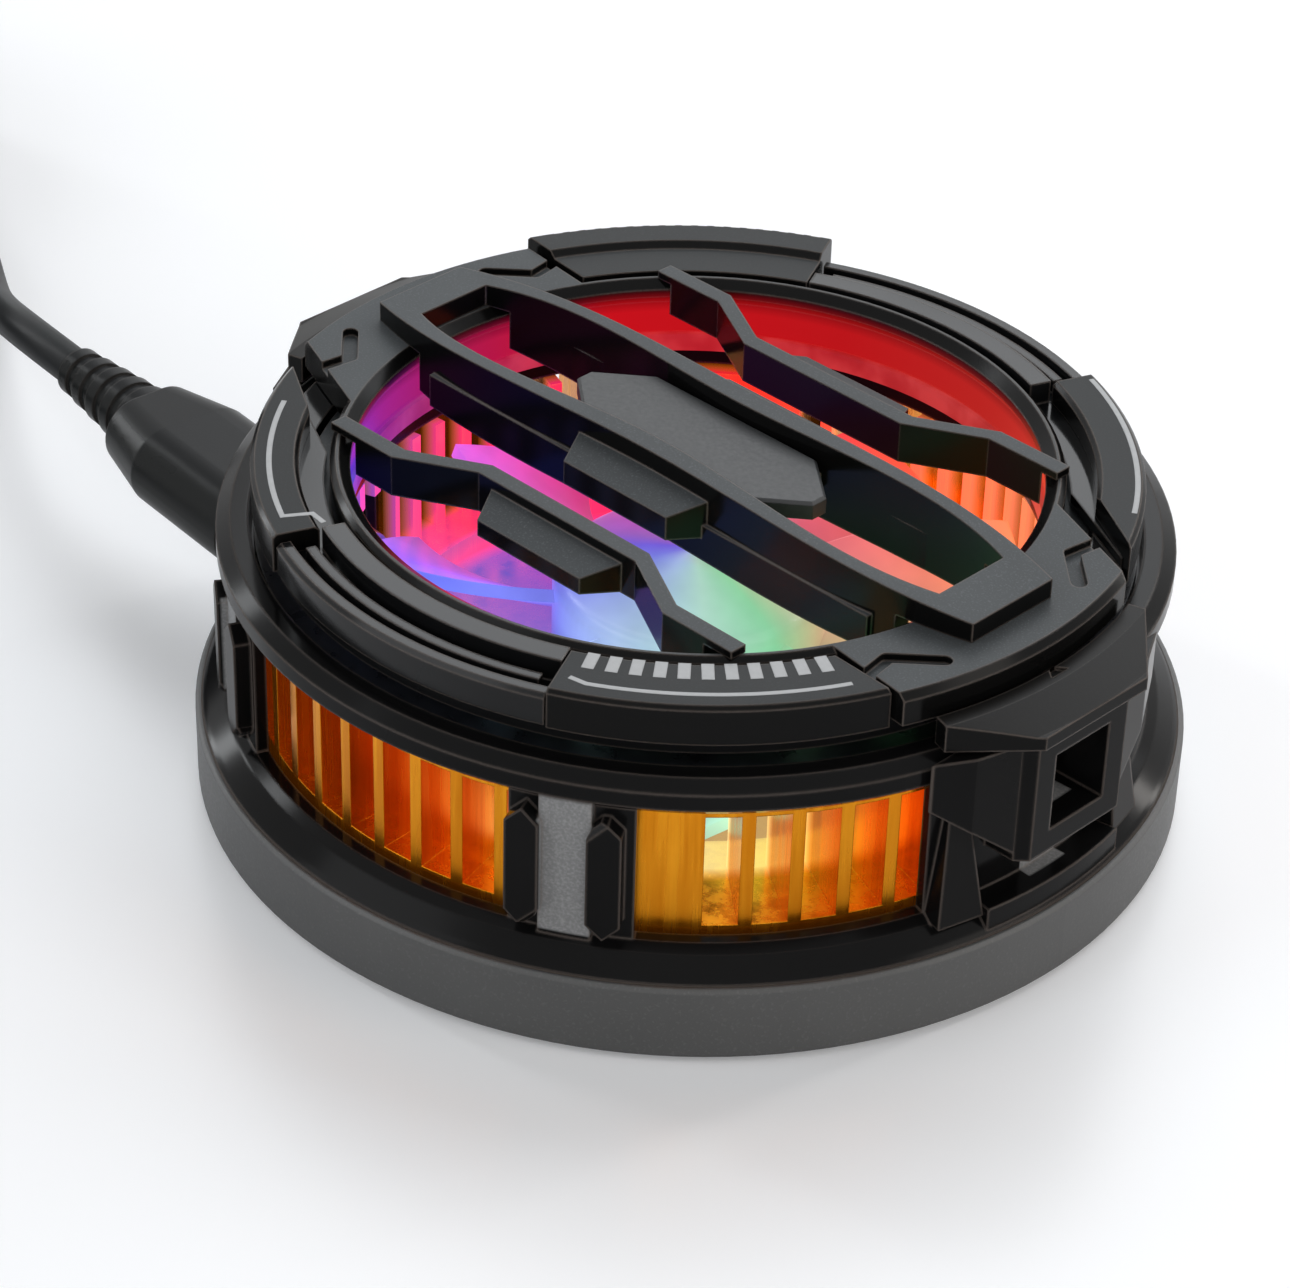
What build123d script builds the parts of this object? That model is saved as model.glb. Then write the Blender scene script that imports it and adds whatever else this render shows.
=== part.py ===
from build123d import *
import os
from math import atan2, cos, degrees, hypot, pi, radians, sin, sqrt, tan

os.makedirs("parts", exist_ok=True)

# Phone cooling fan, in millimetres, with +Z up. The contact face lies on Z = 0 and the fan
# turns about the Z axis. The two clip lugs lie on the X axis, the marked one towards +X.

# Driving sizes
base_radius = 35.0
base_height = 5.9
base_wall = 1.6
lug_reach_share = 1.02571
lug_reach = base_radius * lug_reach_share
window_share = 0.92000
window_radius = base_radius * window_share
window_wall = 0.9
rim_share = 0.94571
rim_radius = base_radius * rim_share
panel_share = 0.87429
panel_radius = base_radius * panel_share
opening_share = 0.68000
opening_radius = base_radius * opening_share
fan_clearance = 1.3
fit_gap = 0.05
free_gap = 0.3
overrun = 2.0
full_turn = 360
half_turn = 180
quarter_turn = 90

# Contact side: cold plate, pad, magnets
cold_plate_share = 0.61143
cold_plate_radius = base_radius * cold_plate_share
cold_plate_thickness = 1.2
pedestal_share = 0.70286
pedestal_side = base_radius * pedestal_share
pedestal_height = 0.6
pad_thickness = 0.8
pad_share = 0.94857
pad_radius = base_radius * pad_share
base_lift = 0.3
base_edge = 0.25
shell_floor = 1.0
magnet_inner_share = 0.66286
magnet_inner = base_radius * magnet_inner_share
magnet_outer_share = 0.78286
magnet_outer = base_radius * magnet_outer_share
magnet_height = 2.0
magnet_count = 18
magnet_gap_angle = 1.5
shunt_thickness = 0.5

# Thermoelectric element
ceramic_share = 0.68571
ceramic_side = base_radius * ceramic_share
ceramic_thickness = 0.7
leg_height = 1.4
leg_side = 1.6
leg_rows = 7
leg_pitch_share = 0.09143
leg_pitch = base_radius * leg_pitch_share
foam_gap = 0.3

# Heat sink
sink_base = 2.0
sink_rim_inner_share = 0.62857
sink_rim_inner = base_radius * sink_rim_inner_share
sink_rim_height = 1.6
fin_count = 60
fin_thickness = 0.9
fin_height = 8.6
fin_inner_share = 0.70857
fin_inner = base_radius * fin_inner_share
sink_band_height = 1.2
sink_band_width = 2.2
solid_block_angle = 7.25
solid_block_offset = 5.25

# Middle housing
skirt_share = 0.94571
skirt_radius = base_radius * skirt_share
sill_width = 0.4
sill_ease = 0.4
sill_top_width = 1.6
sill_height = 1.8
deck_thickness = 1.2
deck_inner_share = 0.69143
deck_inner = base_radius * deck_inner_share
rim_height = 1.5
rim_slope = 0.8
rim_bevel = 1.0
rim_bevel_height = 0.7
window_spans = [(17.5, 52.0), (67.0, 112.5), (128.0, 162.5), (-112.5, -67.0), (-52.0, -17.5)]
pillar_angles = [60, 120, -60, -120]
pillar_angle = 6.2
pillar_relief = 0.45
prism_offset = 4.7
prism_width = 2.3
prism_relief = 1.2
prism_bevel = 0.7
prism_length = 9.4

# Clip lugs
lug_half_width = 5.2
lug_inner_share = 0.85429
lug_inner = base_radius * lug_inner_share
lug_face_share = 1.00000
lug_face = base_radius * lug_face_share
lug_bottom = 11.5
lug_arm_half_width = 11.2
lug_arm_height = 8.6
lug_arm_slope = 40.0
lug_corner_x_share = 0.95143
lug_corner_x = base_radius * lug_corner_x_share
lug_corner_y = 8.5
lug_bevel = 0.8
slot_half_width = 2.65
slot_bottom = 13.2
slot_top = 19.1
slot_floor_share = 0.88286
slot_floor = base_radius * slot_floor_share
lug_plate_thickness = 2.0
lug_plate_inner_share = 0.91143
lug_plate_inner = base_radius * lug_plate_inner_share
lug_plate_angle = 17.3
lug_plate_flat = 5.0
lug_plate_gap = 0.35
arrow_half_width = 0.8
shelf_half_angle = 11.0
shelf_share = 0.98000
shelf_radius = base_radius * shelf_share
shelf_height = 2.0
gusset_angle = 14.2
gusset_half_angle = 3.0
gusset_foot_share = 0.96857
gusset_foot = base_radius * gusset_foot_share
gusset_height = 9.1

# Power inlet
port_angle = 174.0
port_offset_share = 0.44286
port_offset = base_radius * port_offset_share
port_face_share = 0.81714
port_face = base_radius * port_face_share
port_half_width = 6.2
port_bottom = 6.9
port_height = 7.5
port_recess = 0.45
port_depth = 4.6
port_corner_share = 0.97714
port_corner_radius = base_radius * port_corner_share
board_thickness = 0.8
socket_width = 8.94
socket_height = 3.2
socket_length = 7.3
socket_wall = 0.25
tongue_width = 6.6
tongue_height = 0.7
tongue_length = 5.2
port_board_width = 12.0
port_board_length = 6.4

# Boards and lamps
ring_board_inner_share = 0.71714
ring_board_inner = base_radius * ring_board_inner_share
ring_board_outer_share = 0.87143
ring_board_outer = base_radius * ring_board_outer_share
ring_board_thickness = 0.7
lamp_share = 0.74000
lamp_radius = base_radius * lamp_share
lamp_width = 2.0
lamp_depth = 1.1
lamp_height = 0.7
lamp_angles = [15, 30, 60, 75, 105, 120, 150, 165, 195, 210, 240, 255, 285, 300, 330, 345]
chip_share = 0.82000
chip_radius = base_radius * chip_share
chip_sizes = [(3.0, 3.0), (2.0, 1.2), (2.4, 1.6), (1.6, 0.8), (3.2, 2.0), (1.6, 0.8)]
chip_angles = [205, 214, 221, 228, 236, 245]
chip_height = 0.6
light_inner_share = 0.68286
light_inner = base_radius * light_inner_share
light_outer_share = 0.70286
light_outer = base_radius * light_outer_share
light_height = 1.4

# Inner cover with its two arms
boss_margin = 0.1
hub_shoulder = 1.4
funnel_wall = 0.4
funnel_lip = 0.6
ring_outer_share = 0.72000
ring_outer = base_radius * ring_outer_share
ring_bevel = 0.4
cover_height = 4.35
arm_thickness = 2.35
arm_share = 0.90000
arm_radius = base_radius * arm_share
arm_left_outer = -21.3
arm_left_inner = -25.4
arm_right_outer = 17.7
arm_right_inner = 32.0
arm_bevel = 0.5
chevron_share = 0.78000
chevron_radius = base_radius * chevron_share
chevron_angle = 19.4
chevron_leg = 3.6
chevron_width = 1.1
chevron_depth = 0.6
chevron_spread = 62.0
screw_share = 0.74000
screw_radius = base_radius * screw_share
screw_angles = [45, 135, 225, 315]
screw_shank = 0.6
screw_head = 1.0
screw_head_height = 0.55
screw_boss = 1.0
screw_depth = 2.4
hub_outer = screw_radius + screw_boss + boss_margin

# Grille
frame_half_length_share = 0.80857
frame_half_length = base_radius * frame_half_length_share
frame_end_half_width = 3.9
frame_shoulder_share = 0.70000
frame_shoulder = base_radius * frame_shoulder_share
frame_shoulder_half_width = 4.8
frame_half_width = 5.3
frame_bar = 1.6
frame_end_inner_share = 0.70571
frame_end_inner = base_radius * frame_end_inner_share
frame_rise = 2.5
frame_end_rise = 1.3
frame_depth = 6.1
frame_drop_share = 0.65143
frame_drop = base_radius * frame_drop_share
ledge_reach_share = 0.60000
ledge_reach = base_radius * ledge_reach_share
ledge_width = 0.45
ledge_drop = 3.2
boss_half_length = 6.6
boss_tip_half_length = 4.9
boss_reach = 2.8
boss_drop = 1.2
boss_tip_drop = 0.9
boss_height = 3.2
boss_tip_height = 1.8
side_bar_width = 1.3
side_bar_rise = 0.6
side_bar_depth = 2.5
side_bar_end_share = 0.71143
side_bar_end = base_radius * side_bar_end_share
side_bar_near_share = 0.36857
side_bar_inner_y = base_radius * side_bar_near_share
side_bar_far_share = 0.45429
side_bar_outer_y = base_radius * side_bar_far_share
side_bar_jog_x = 7.5
side_bar_kink_x = 13.0
side_boss_reach = 3.2
badge_half_length = 11.3
badge_shoulder = 7.6
badge_tip = 1.3
badge_thickness = 1.3
badge_recess = 1.2
badge_shelf = 0.6

# Turning ring and its panels
ring_body_inner = hub_outer + free_gap
ring_body_outer_share = 0.85429
ring_body_outer = base_radius * ring_body_outer_share
ring_body_height = 1.5
ring_base_height = 0.8
panel_bevel = 0.3
panel_inner_share = 0.73143
panel_inner = base_radius * panel_inner_share
side_panel_inner = hub_outer + free_gap
ring_step = 0.6
rib_inner_share = 0.80000
rib_inner = base_radius * rib_inner_share
rib_width = 0.7
rib_rise = 1.0
lip_inner_share = 0.84000
lip_inner = base_radius * lip_inner_share
lip_outer_share = 0.86857
lip_outer = base_radius * lip_outer_share
lip_drop = 0.6
inner_band_width = 1.6
seam_angle = 0.35
side_end = 68.0
grip_start = 116.0
scale_span = (grip_start - half_turn, -22.1)
scale_end_inner = -26.2
side_span = (24.3, side_end)
side_start_inner = 35.6
side_start_base = 41.4
groove_span = (side_end, grip_start)
grip_span = (grip_start, 157.9)
grip_end_inner = 153.8
grip_share = 0.91429
grip_radius = base_radius * grip_share
grip_rise = 0.5
knurl_pitch = 2.2
knurl_depth = 0.35
peg_angle = 190.0
peg_share = 0.81714
peg_radius = base_radius * peg_share
peg_size = 1.4
slider_height = 0.4
switch_length = 6.0
switch_width = 2.6

# Motor and fan
bracket_radius = 8.0
bracket_thickness = 0.8
tube_outer = 2.5
tube_height = 5.2
bearing_outer = 1.6
bearing_height = 5.0
shaft_radius = 0.75
shaft_lift = 0.9
core_height = 3.2
core_lift = 1.6
core_tip = 6.4
core_hub = 3.3
pole_count = 4
pole_neck = 1.6
pole_arc = 66
pole_shoe = 0.7
coil_width = 3.4
coil_wall = 0.7
magnet_air_gap = 0.5
rotor_magnet_wall = 1.1
rotor_magnet_height = 4.4
yoke_wall = 0.6
yoke_height = 5.8
hub_wall = 1.3
hub_lift = 0.7
dome_rise = 2.0
blade_count = 9
blade_thickness = 0.9
blade_root_chord = 6.4
blade_tip_chord = 15.0
blade_root_pitch = 37.0
blade_lift = 4.0
blade_tip_pitch = 24.0
blade_sweep = -16.0

# Cord and its plugs
cord_diameter = 3.1
cord_length = 1500.0
plug_gap = 0.5
plug_shell_width = 8.25
plug_shell_height = 2.4
plug_shell_length = 6.4
plug_shell_wall = 0.3
plug_width = 10.6
plug_height = 6.4
plug_waist_width = 8.0
plug_waist_height = 5.6
plug_length = 16.6
plug_grip_share = 0.667
boot_length = 10.0
boot_end = 1.9
boot_groove = 0.3
boot_rings = 4
bend_share = 0.45
turn_pitch = 4.2
layer_pitch = 4.0
climb_share = 0.477
layer_count = 4
quarters_per_layer = 11
coil_outer_radius = 23.9
tie_width = 5.0
tie_thickness = 0.5
tie_gap = 0.35
tie_angle = -40.0
usb_a_shell_width = 12.0
usb_a_shell_height = 4.5
usb_a_shell_length = 13.0
usb_a_shell_wall = 0.3
usb_a_width = 15.6
usb_a_height = 7.8
usb_a_length = 20.0
usb_a_tongue_height = 1.8
usb_a_neck = 3.0
usb_a_corner = 1.2
usb_a_waist_share = 0.667
tail_runs = [14, 18, 16, 11.5]
tail_turns = [0, 29, 33, 29]
tail_drop_shares = [0, 0.45, 1, 1]

# Levels above the contact face, each from the pieces that stand under it
floor_top = pad_thickness + shell_floor
magnet_top = floor_top + magnet_height
pedestal_top = cold_plate_thickness + pedestal_height
legs_bottom = pedestal_top + ceramic_thickness
legs_top = legs_bottom + leg_height
sink_bottom = legs_top + ceramic_thickness
sink_top = sink_bottom + sink_base
sink_rim_top = sink_top + sink_rim_height
fin_top = sink_rim_top + fin_height
sink_band_top = fin_top + sink_band_height
deck_bottom = sink_band_top
deck_top = deck_bottom + deck_thickness
rim_top = deck_top + rim_height
sill_top = base_height + sill_height
wall_inner = window_radius - window_wall
sink_radius = wall_inner - free_gap
lamp_bottom = deck_top + ring_board_thickness
hub_bottom = deck_top + light_height + fit_gap
shoulder_top = hub_bottom + hub_shoulder
cover_top = hub_bottom + cover_height
arm_bottom = cover_top - arm_thickness
ring_bottom = rim_top + free_gap
ring_body_top = ring_bottom + ring_body_height
ring_base_top = ring_body_top + ring_base_height
panel_bottom = shoulder_top + fit_gap
panel_top = cover_top
lug_top = rim_top + lug_plate_gap
board_top = sink_rim_top + board_thickness
port_height_middle = board_top + socket_height / 2
frame_top = cover_top + frame_rise
frame_end_top = cover_top + frame_end_rise
frame_bottom = frame_top - frame_depth
ledge_top = frame_top - ledge_drop
boss_top = frame_top - boss_drop
frame_inner_half_width = frame_half_width - frame_bar
rotor_bottom = sink_top + bracket_thickness + hub_lift
yoke_top = rotor_bottom + yoke_height
blade_middle = rotor_bottom + blade_lift

# Distances from the fan's axis and along the inlet's axis, also from the pieces before them
yoke_inner = core_tip + magnet_air_gap + rotor_magnet_wall
hub_radius = yoke_inner + yoke_wall + hub_wall
blade_reach = fin_inner - fan_clearance
plug_front = port_face + plug_gap
plug_back = plug_front + plug_length
boot_back = plug_back + boot_length


def polar(radius, angle, height=0):
    """Point at an angle round the Z axis."""
    return Vector(radius * cos(radians(angle)), radius * sin(radians(angle)), height)


def disc(radius, bottom, top):
    return Pos(0, 0, bottom) * extrude(Circle(radius), amount=top - bottom)


def ring(inner, outer, bottom, top):
    return Pos(0, 0, bottom) * extrude(Circle(outer) - Circle(inner), amount=top - bottom)


def block(length, width, bottom, top):
    return Pos(0, 0, bottom) * extrude(Rectangle(length, width), amount=top - bottom)


def prism(points, bottom, top):
    """Upright prism over a plan outline."""
    return Pos(0, 0, bottom) * extrude(make_face(Polyline(*points, close=True)), amount=top - bottom)


def turned(profile, start=0, span=full_turn):
    """Solid of revolution about Z from an outline of (radius, height) points."""
    face = Plane.XZ * make_face(Polyline(*profile, close=True))
    return Rot(0, 0, start) * revolve(face, axis=Axis.Z, revolution_arc=span)


def sector(inner, outer, outer_span, bottom, top, inner_span=None):
    """Piece of a ring. Its ends are slanted where the inner edge has a span of its own."""
    start, end = outer_span
    inner_start, inner_end = inner_span or outer_span
    edges = [
        ThreePointArc(polar(outer, start), polar(outer, (start + end) / 2), polar(outer, end)),
        Line(polar(outer, end), polar(inner, inner_end)),
        ThreePointArc(polar(inner, inner_end), polar(inner, (inner_start + inner_end) / 2),
                      polar(inner, inner_start)),
        Line(polar(inner, inner_start), polar(outer, start)),
    ]
    return Pos(0, 0, bottom) * extrude(make_face(edges), amount=top - bottom)


def box_between(low, high):
    """Box from its lowest to its highest corner."""
    size = [high[i] - low[i] for i in range(3)]
    middle = [(high[i] + low[i]) / 2 for i in range(3)]
    return Pos(*middle) * Box(*size)


def tapered(first, second):
    """Ruled solid between two rectangles, each (plane, width, height)."""
    faces = [plane * Rectangle(width, height) for plane, width, height in (first, second)]
    return loft(faces, ruled=True)


def opposite(shape):
    """The same shape half a turn round."""
    return Rot(0, 0, half_turn) * shape


def save(node, shape):
    export_step(shape, f"parts/{node}.step")


def cold_plate():
    plate = disc(cold_plate_radius, 0, cold_plate_thickness)
    return plate + block(pedestal_side, pedestal_side, 0, pedestal_top)


def contact_pad():
    return ring(cold_plate_radius + free_gap, pad_radius - free_gap, 0, pad_thickness)


def base_shell():
    """Dish whose floor holds the magnets and whose wall is the lowest visible band."""
    profile = [
        (cold_plate_radius + free_gap, pad_thickness),
        (pad_radius, pad_thickness),
        (pad_radius, base_lift),
        (base_radius - base_edge, base_lift),
        (base_radius, base_lift + base_edge),
        (base_radius, base_height - base_edge),
        (base_radius - base_edge, base_height),
        (base_radius - base_wall, base_height),
        (base_radius - base_wall, floor_top),
        (cold_plate_radius + free_gap, floor_top),
    ]
    shell = turned(profile)
    for screw in base_screw_places():
        shell -= screw * disc(screw_shank + fit_gap, pad_thickness - overrun, floor_top + overrun)
        shell -= screw * disc(screw_head + fit_gap, pad_thickness - overrun,
                              pad_thickness + screw_head_height + fit_gap)
    return shell


def base_screw_places():
    middle = (skirt_radius + wall_inner) / 2
    return [Pos(*polar(middle, angle)) for angle in screw_angles]


def ring_magnets():
    pitch = full_turn / magnet_count
    return [sector(magnet_inner, magnet_outer, (i * pitch, (i + 1) * pitch - magnet_gap_angle),
                   floor_top, magnet_top) for i in range(magnet_count)]


def magnet_shunt():
    return ring(magnet_inner, magnet_outer, magnet_top, magnet_top + shunt_thickness)


def peltier_legs():
    middle = (leg_rows - 1) / 2
    return [Pos((column - middle) * leg_pitch, (row - middle) * leg_pitch)
            * block(leg_side, leg_side, legs_bottom, legs_top)
            for row in range(leg_rows) for column in range(leg_rows)]


def insulation_frame():
    hole = pedestal_side + foam_gap * 2
    frame = disc(cold_plate_radius - foam_gap, cold_plate_thickness, sink_bottom)
    return frame - block(hole, hole, 0, sink_bottom + overrun)


def port_place():
    """Frame of the power inlet: X points out of the housing, Y across the mouth."""
    return Rot(0, 0, port_angle) * Pos(0, port_offset, 0)


def port_box(inner, outer, half_width, bottom, top):
    return port_place() * box_between((inner, -half_width, bottom), (outer, half_width, top))


def fin_gap(start, end):
    """Gap between two fins of even thickness, between the middle lines of the fins."""
    inner_radius = sink_rim_inner
    outer_radius = sink_radius + overrun
    spans = []
    for radius in (outer_radius, inner_radius):
        half = degrees(fin_thickness / 2 / radius)
        spans.append((start + half, end - half))
    return sector(inner_radius, outer_radius, spans[0], sink_rim_top, fin_top, spans[1])


def heat_sink():
    """Base disc with a raised rim, a ring of radial fins and the band that ties their tops."""
    profile = [
        (0, sink_bottom),
        (sink_radius, sink_bottom),
        (sink_radius, sink_band_top),
        (sink_radius - sink_band_width, sink_band_top),
        (sink_radius - sink_band_width, fin_top),
        (fin_inner, fin_top),
        (fin_inner, sink_rim_top),
        (sink_rim_inner, sink_rim_top),
        (sink_rim_inner, sink_top),
        (0, sink_top),
    ]
    sink = turned(profile)
    pitch = full_turn / fin_count
    solid_middles = [solid_block_offset - pillar_angles[0], solid_block_offset + pillar_angles[1]]
    gaps = []
    for i in range(fin_count):
        middle = (i + 1) * pitch
        away = [abs((middle - solid + half_turn) % full_turn - half_turn) for solid in solid_middles]
        if min(away) > solid_block_angle:
            gaps.append(fin_gap(middle - pitch / 2, middle + pitch / 2))
    sink -= gaps
    pocket = box_between((lug_inner - free_gap, -lug_half_width - free_gap, lug_bottom - free_gap),
                         (base_radius, lug_half_width + free_gap, deck_bottom + overrun))
    inlet = port_box(port_face - socket_length - overrun, base_radius + overrun,
                     port_half_width + free_gap, sink_rim_top, port_bottom + port_height + free_gap)
    return sink - [pocket, opposite(pocket), inlet]


def lug_block():
    """Socket block under one lug plate, with the arms that carry it on the rim."""
    wall_middle = window_radius - window_wall / 2
    deck_middle = (deck_bottom + deck_top) / 2
    core = box_between((lug_inner, -lug_half_width, lug_bottom), (lug_face, lug_half_width, deck_middle))
    seat = box_between((lug_plate_inner, -lug_half_width, deck_middle - overrun),
                       (lug_face, lug_half_width, lug_top))
    core = chamfer((core + seat).edges().filter_by(Axis.Z).group_by(Axis.X)[-1], lug_bevel)
    sides = []
    for side in (-1, 1):
        inside = side * (lug_half_width - lug_bevel)
        plan = [(wall_middle, inside), (lug_face - lug_bevel, inside),
                (lug_face - lug_bevel, side * lug_half_width), (lug_corner_x, side * lug_corner_y),
                (wall_middle, side * lug_arm_half_width)]
        wing = prism(plan, rim_top - lug_arm_height, rim_top)
        tilt = Pos(0, side * lug_half_width, rim_top - lug_arm_height) * Rot(side * lug_arm_slope, 0, 0)
        under = box_between((0, min(0, side * lug_reach), -lug_arm_height),
                            (lug_reach, max(0, side * lug_reach), 0))
        sides.append(wing - tilt * under)
    pieces = [core] + sides
    for side in (-1, 1):
        angle = side * gusset_angle
        foot = Plane(origin=polar(wall_middle, angle, sill_top - sill_ease), x_dir=polar(1, angle),
                     z_dir=(0, 0, 1))
        peak = Plane(origin=polar(wall_middle, angle, sill_top + gusset_height), x_dir=polar(1, angle),
                     z_dir=(0, 0, 1))
        depth = (gusset_foot - wall_middle) * 2
        width = 2 * gusset_foot * sin(radians(gusset_half_angle))
        gusset = tapered((foot, depth, width), (peak, window_wall * 2, width / 3))
        pieces.append(gusset - disc(wall_middle, 0, cover_top))
    shelf = sector(wall_middle, shelf_radius, (-shelf_half_angle, shelf_half_angle),
                   base_height + base_edge, base_height + shelf_height)
    return pieces + [shelf]


def slot():
    return box_between((slot_floor, -slot_half_width, slot_bottom),
                       (lug_reach + overrun, slot_half_width, slot_top))


def pillar_prism(angle):
    """Long six-sided boss beside a pillar."""
    middle = (sill_top + deck_bottom) / 2
    plane = Plane(origin=polar(window_radius - window_wall / 2, angle, middle), z_dir=polar(1, angle),
                  x_dir=Vector(0, 0, 1))
    half = prism_length / 2
    outline = Polyline((-half, 0), (-half + prism_width / 2, prism_width / 2),
                       (half - prism_width / 2, prism_width / 2), (half, 0),
                       (half - prism_width / 2, -prism_width / 2),
                       (-half + prism_width / 2, -prism_width / 2), close=True)
    boss = extrude(plane * make_face(outline), amount=window_wall / 2 + prism_relief)
    return chamfer(boss.faces().sort_by_distance(plane.origin)[-1].edges(), prism_bevel / 2)


def cage():
    """Middle housing: sill, window wall, pillars, rim, deck, lugs and the block of the inlet."""
    profile = [
        (wall_inner, floor_top),
        (skirt_radius, floor_top),
        (skirt_radius, base_height),
        (base_radius - sill_width, base_height),
        (base_radius - sill_width - sill_ease, base_height + sill_ease),
        (base_radius - sill_width - sill_top_width, sill_top - sill_ease),
        (window_radius, sill_top),
        (window_radius, deck_bottom),
        (rim_radius, deck_bottom + rim_slope),
        (rim_radius, rim_top - rim_bevel_height),
        (rim_radius - rim_bevel, rim_top),
        (ring_board_outer + free_gap, rim_top),
        (ring_board_outer + free_gap, deck_top),
        (deck_inner, deck_top),
        (deck_inner, deck_bottom),
        (wall_inner, deck_bottom),
    ]
    body = turned(profile)
    body -= [sector(wall_inner - overrun, rim_radius + overrun, span, sill_top, deck_bottom)
             for span in window_spans]
    for angle in pillar_angles:
        body += sector(window_radius - window_wall / 2, window_radius + pillar_relief,
                       (angle - pillar_angle / 2, angle + pillar_angle / 2),
                       sill_top - sill_ease, deck_bottom + rim_slope / 2)
        for side in (-1, 1):
            body += pillar_prism(angle + side * prism_offset)
    for piece in lug_block():
        body += piece
        body += opposite(piece)
    body -= [slot(), opposite(slot())]
    inlet = port_box(port_face - port_depth, port_face, port_half_width, port_bottom,
                     port_bottom + port_height)
    inlet = chamfer(inlet.edges().filter_by(Plane.XY, reverse=True), lug_bevel)
    body += (inlet & disc(port_corner_radius, 0, deck_top)) - disc(wall_inner, 0, sink_rim_top + free_gap)
    body -= port_box(port_face, base_radius + overrun, plug_width / 2 + port_recess,
                     port_height_middle - plug_height / 2 - port_recess,
                     port_height_middle + plug_height / 2 + port_recess)
    body -= port_box(0, base_radius + overrun, socket_width / 2 + fit_gap, board_top - fit_gap,
                     board_top + socket_height + fit_gap)
    body -= port_box(0, port_face - port_depth + overrun, port_board_width / 2 + free_gap,
                     sink_rim_top, board_top)
    for angle in screw_angles:
        place = Pos(*polar(screw_radius, angle))
        body -= place * disc(screw_shank + fit_gap, deck_bottom - overrun, deck_top + overrun)
        body -= place * disc(screw_head + fit_gap, deck_bottom - overrun,
                             deck_bottom + screw_head_height + fit_gap * 2)
    for screw in base_screw_places():
        body -= screw * disc(screw_shank + fit_gap, floor_top - overrun, floor_top + screw_depth + fit_gap)
    return body


def oval(width, height):
    return RectangleRounded(width, height, height / 2 - fit_gap)


def section_plane(distance):
    """Plane square to the axis of the inlet, in the frame of the inlet."""
    return Plane(origin=(distance, 0, port_height_middle), x_dir=(0, 1, 0), z_dir=(1, 0, 0))


def socket_shell():
    """Oval steel tube of the power socket, closed at the back."""
    start = port_face - socket_length
    tube = extrude(section_plane(start) * oval(socket_width, socket_height), amount=socket_length)
    bore = oval(socket_width - 2 * socket_wall, socket_height - 2 * socket_wall)
    return port_place() * (tube - extrude(section_plane(start + socket_wall) * bore, amount=socket_length))


def socket_tongue():
    start = port_face - socket_length + socket_wall
    half = tongue_height / 2
    return port_box(start, start + tongue_length, tongue_width / 2, port_height_middle - half,
                    port_height_middle + half)


def port_board():
    return port_box(port_face - port_board_length, port_face - port_depth + overrun - fit_gap,
                    port_board_width / 2, sink_rim_top, board_top)


def control_board():
    board = ring(ring_board_inner, ring_board_outer, deck_top, lamp_bottom)
    for angle in screw_angles:
        board -= Pos(*polar(screw_radius, angle)) * disc(screw_boss + free_gap, 0, cover_top)
    return board


def lamp_chips():
    return [Rot(0, 0, angle) * Pos(lamp_radius, 0)
            * block(lamp_depth, lamp_width, lamp_bottom, lamp_bottom + lamp_height)
            for angle in lamp_angles]


def board_chips():
    return [Rot(0, 0, angle) * Pos(chip_radius, 0)
            * block(size[1], size[0], lamp_bottom, lamp_bottom + chip_height)
            for angle, size in zip(chip_angles, chip_sizes)]


def mode_switch():
    """Slide switch under the turning ring."""
    place = Rot(0, 0, peg_angle) * Pos(peg_radius, 0)
    return place * block(switch_width, switch_length, lamp_bottom, lamp_bottom + chip_height)


def switch_slider():
    """Peg that the ring carries over the switch."""
    place = Rot(0, 0, peg_angle) * Pos(peg_radius, 0)
    return place * block(peg_size, peg_size, ring_bottom - slider_height, ring_bottom)


def arm():
    """One arm of the inner cover, which bridges the turning ring to a lug."""
    plate = sector(ring_outer - ring_bevel - fit_gap * 2, arm_radius, (arm_left_outer, arm_right_outer),
                   arm_bottom, cover_top, (arm_left_inner, arm_right_inner))
    outside = turned([(ring_outer - overrun, arm_bottom), (arm_radius, arm_bottom),
                      (arm_radius, cover_top - arm_bevel), (arm_radius - arm_bevel, cover_top),
                      (ring_outer - overrun, cover_top)])
    return plate & outside


def chevron(angle, mirrored):
    """Bent slot sunk into an arm."""
    corner = polar(chevron_radius, angle)
    heading = angle + mirrored * quarter_turn
    legs = []
    for turn in (-chevron_spread, chevron_spread):
        tip = corner + polar(chevron_leg, heading + turn - mirrored * quarter_turn)
        middle = (corner + tip) * (1 / 2)
        plane = Plane(origin=(middle.X, middle.Y, cover_top - chevron_depth),
                      x_dir=(tip - corner).normalized(), z_dir=(0, 0, 1))
        legs.append(extrude(plane * SlotCenterToCenter(chevron_leg, chevron_width), amount=overrun))
    return legs


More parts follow.
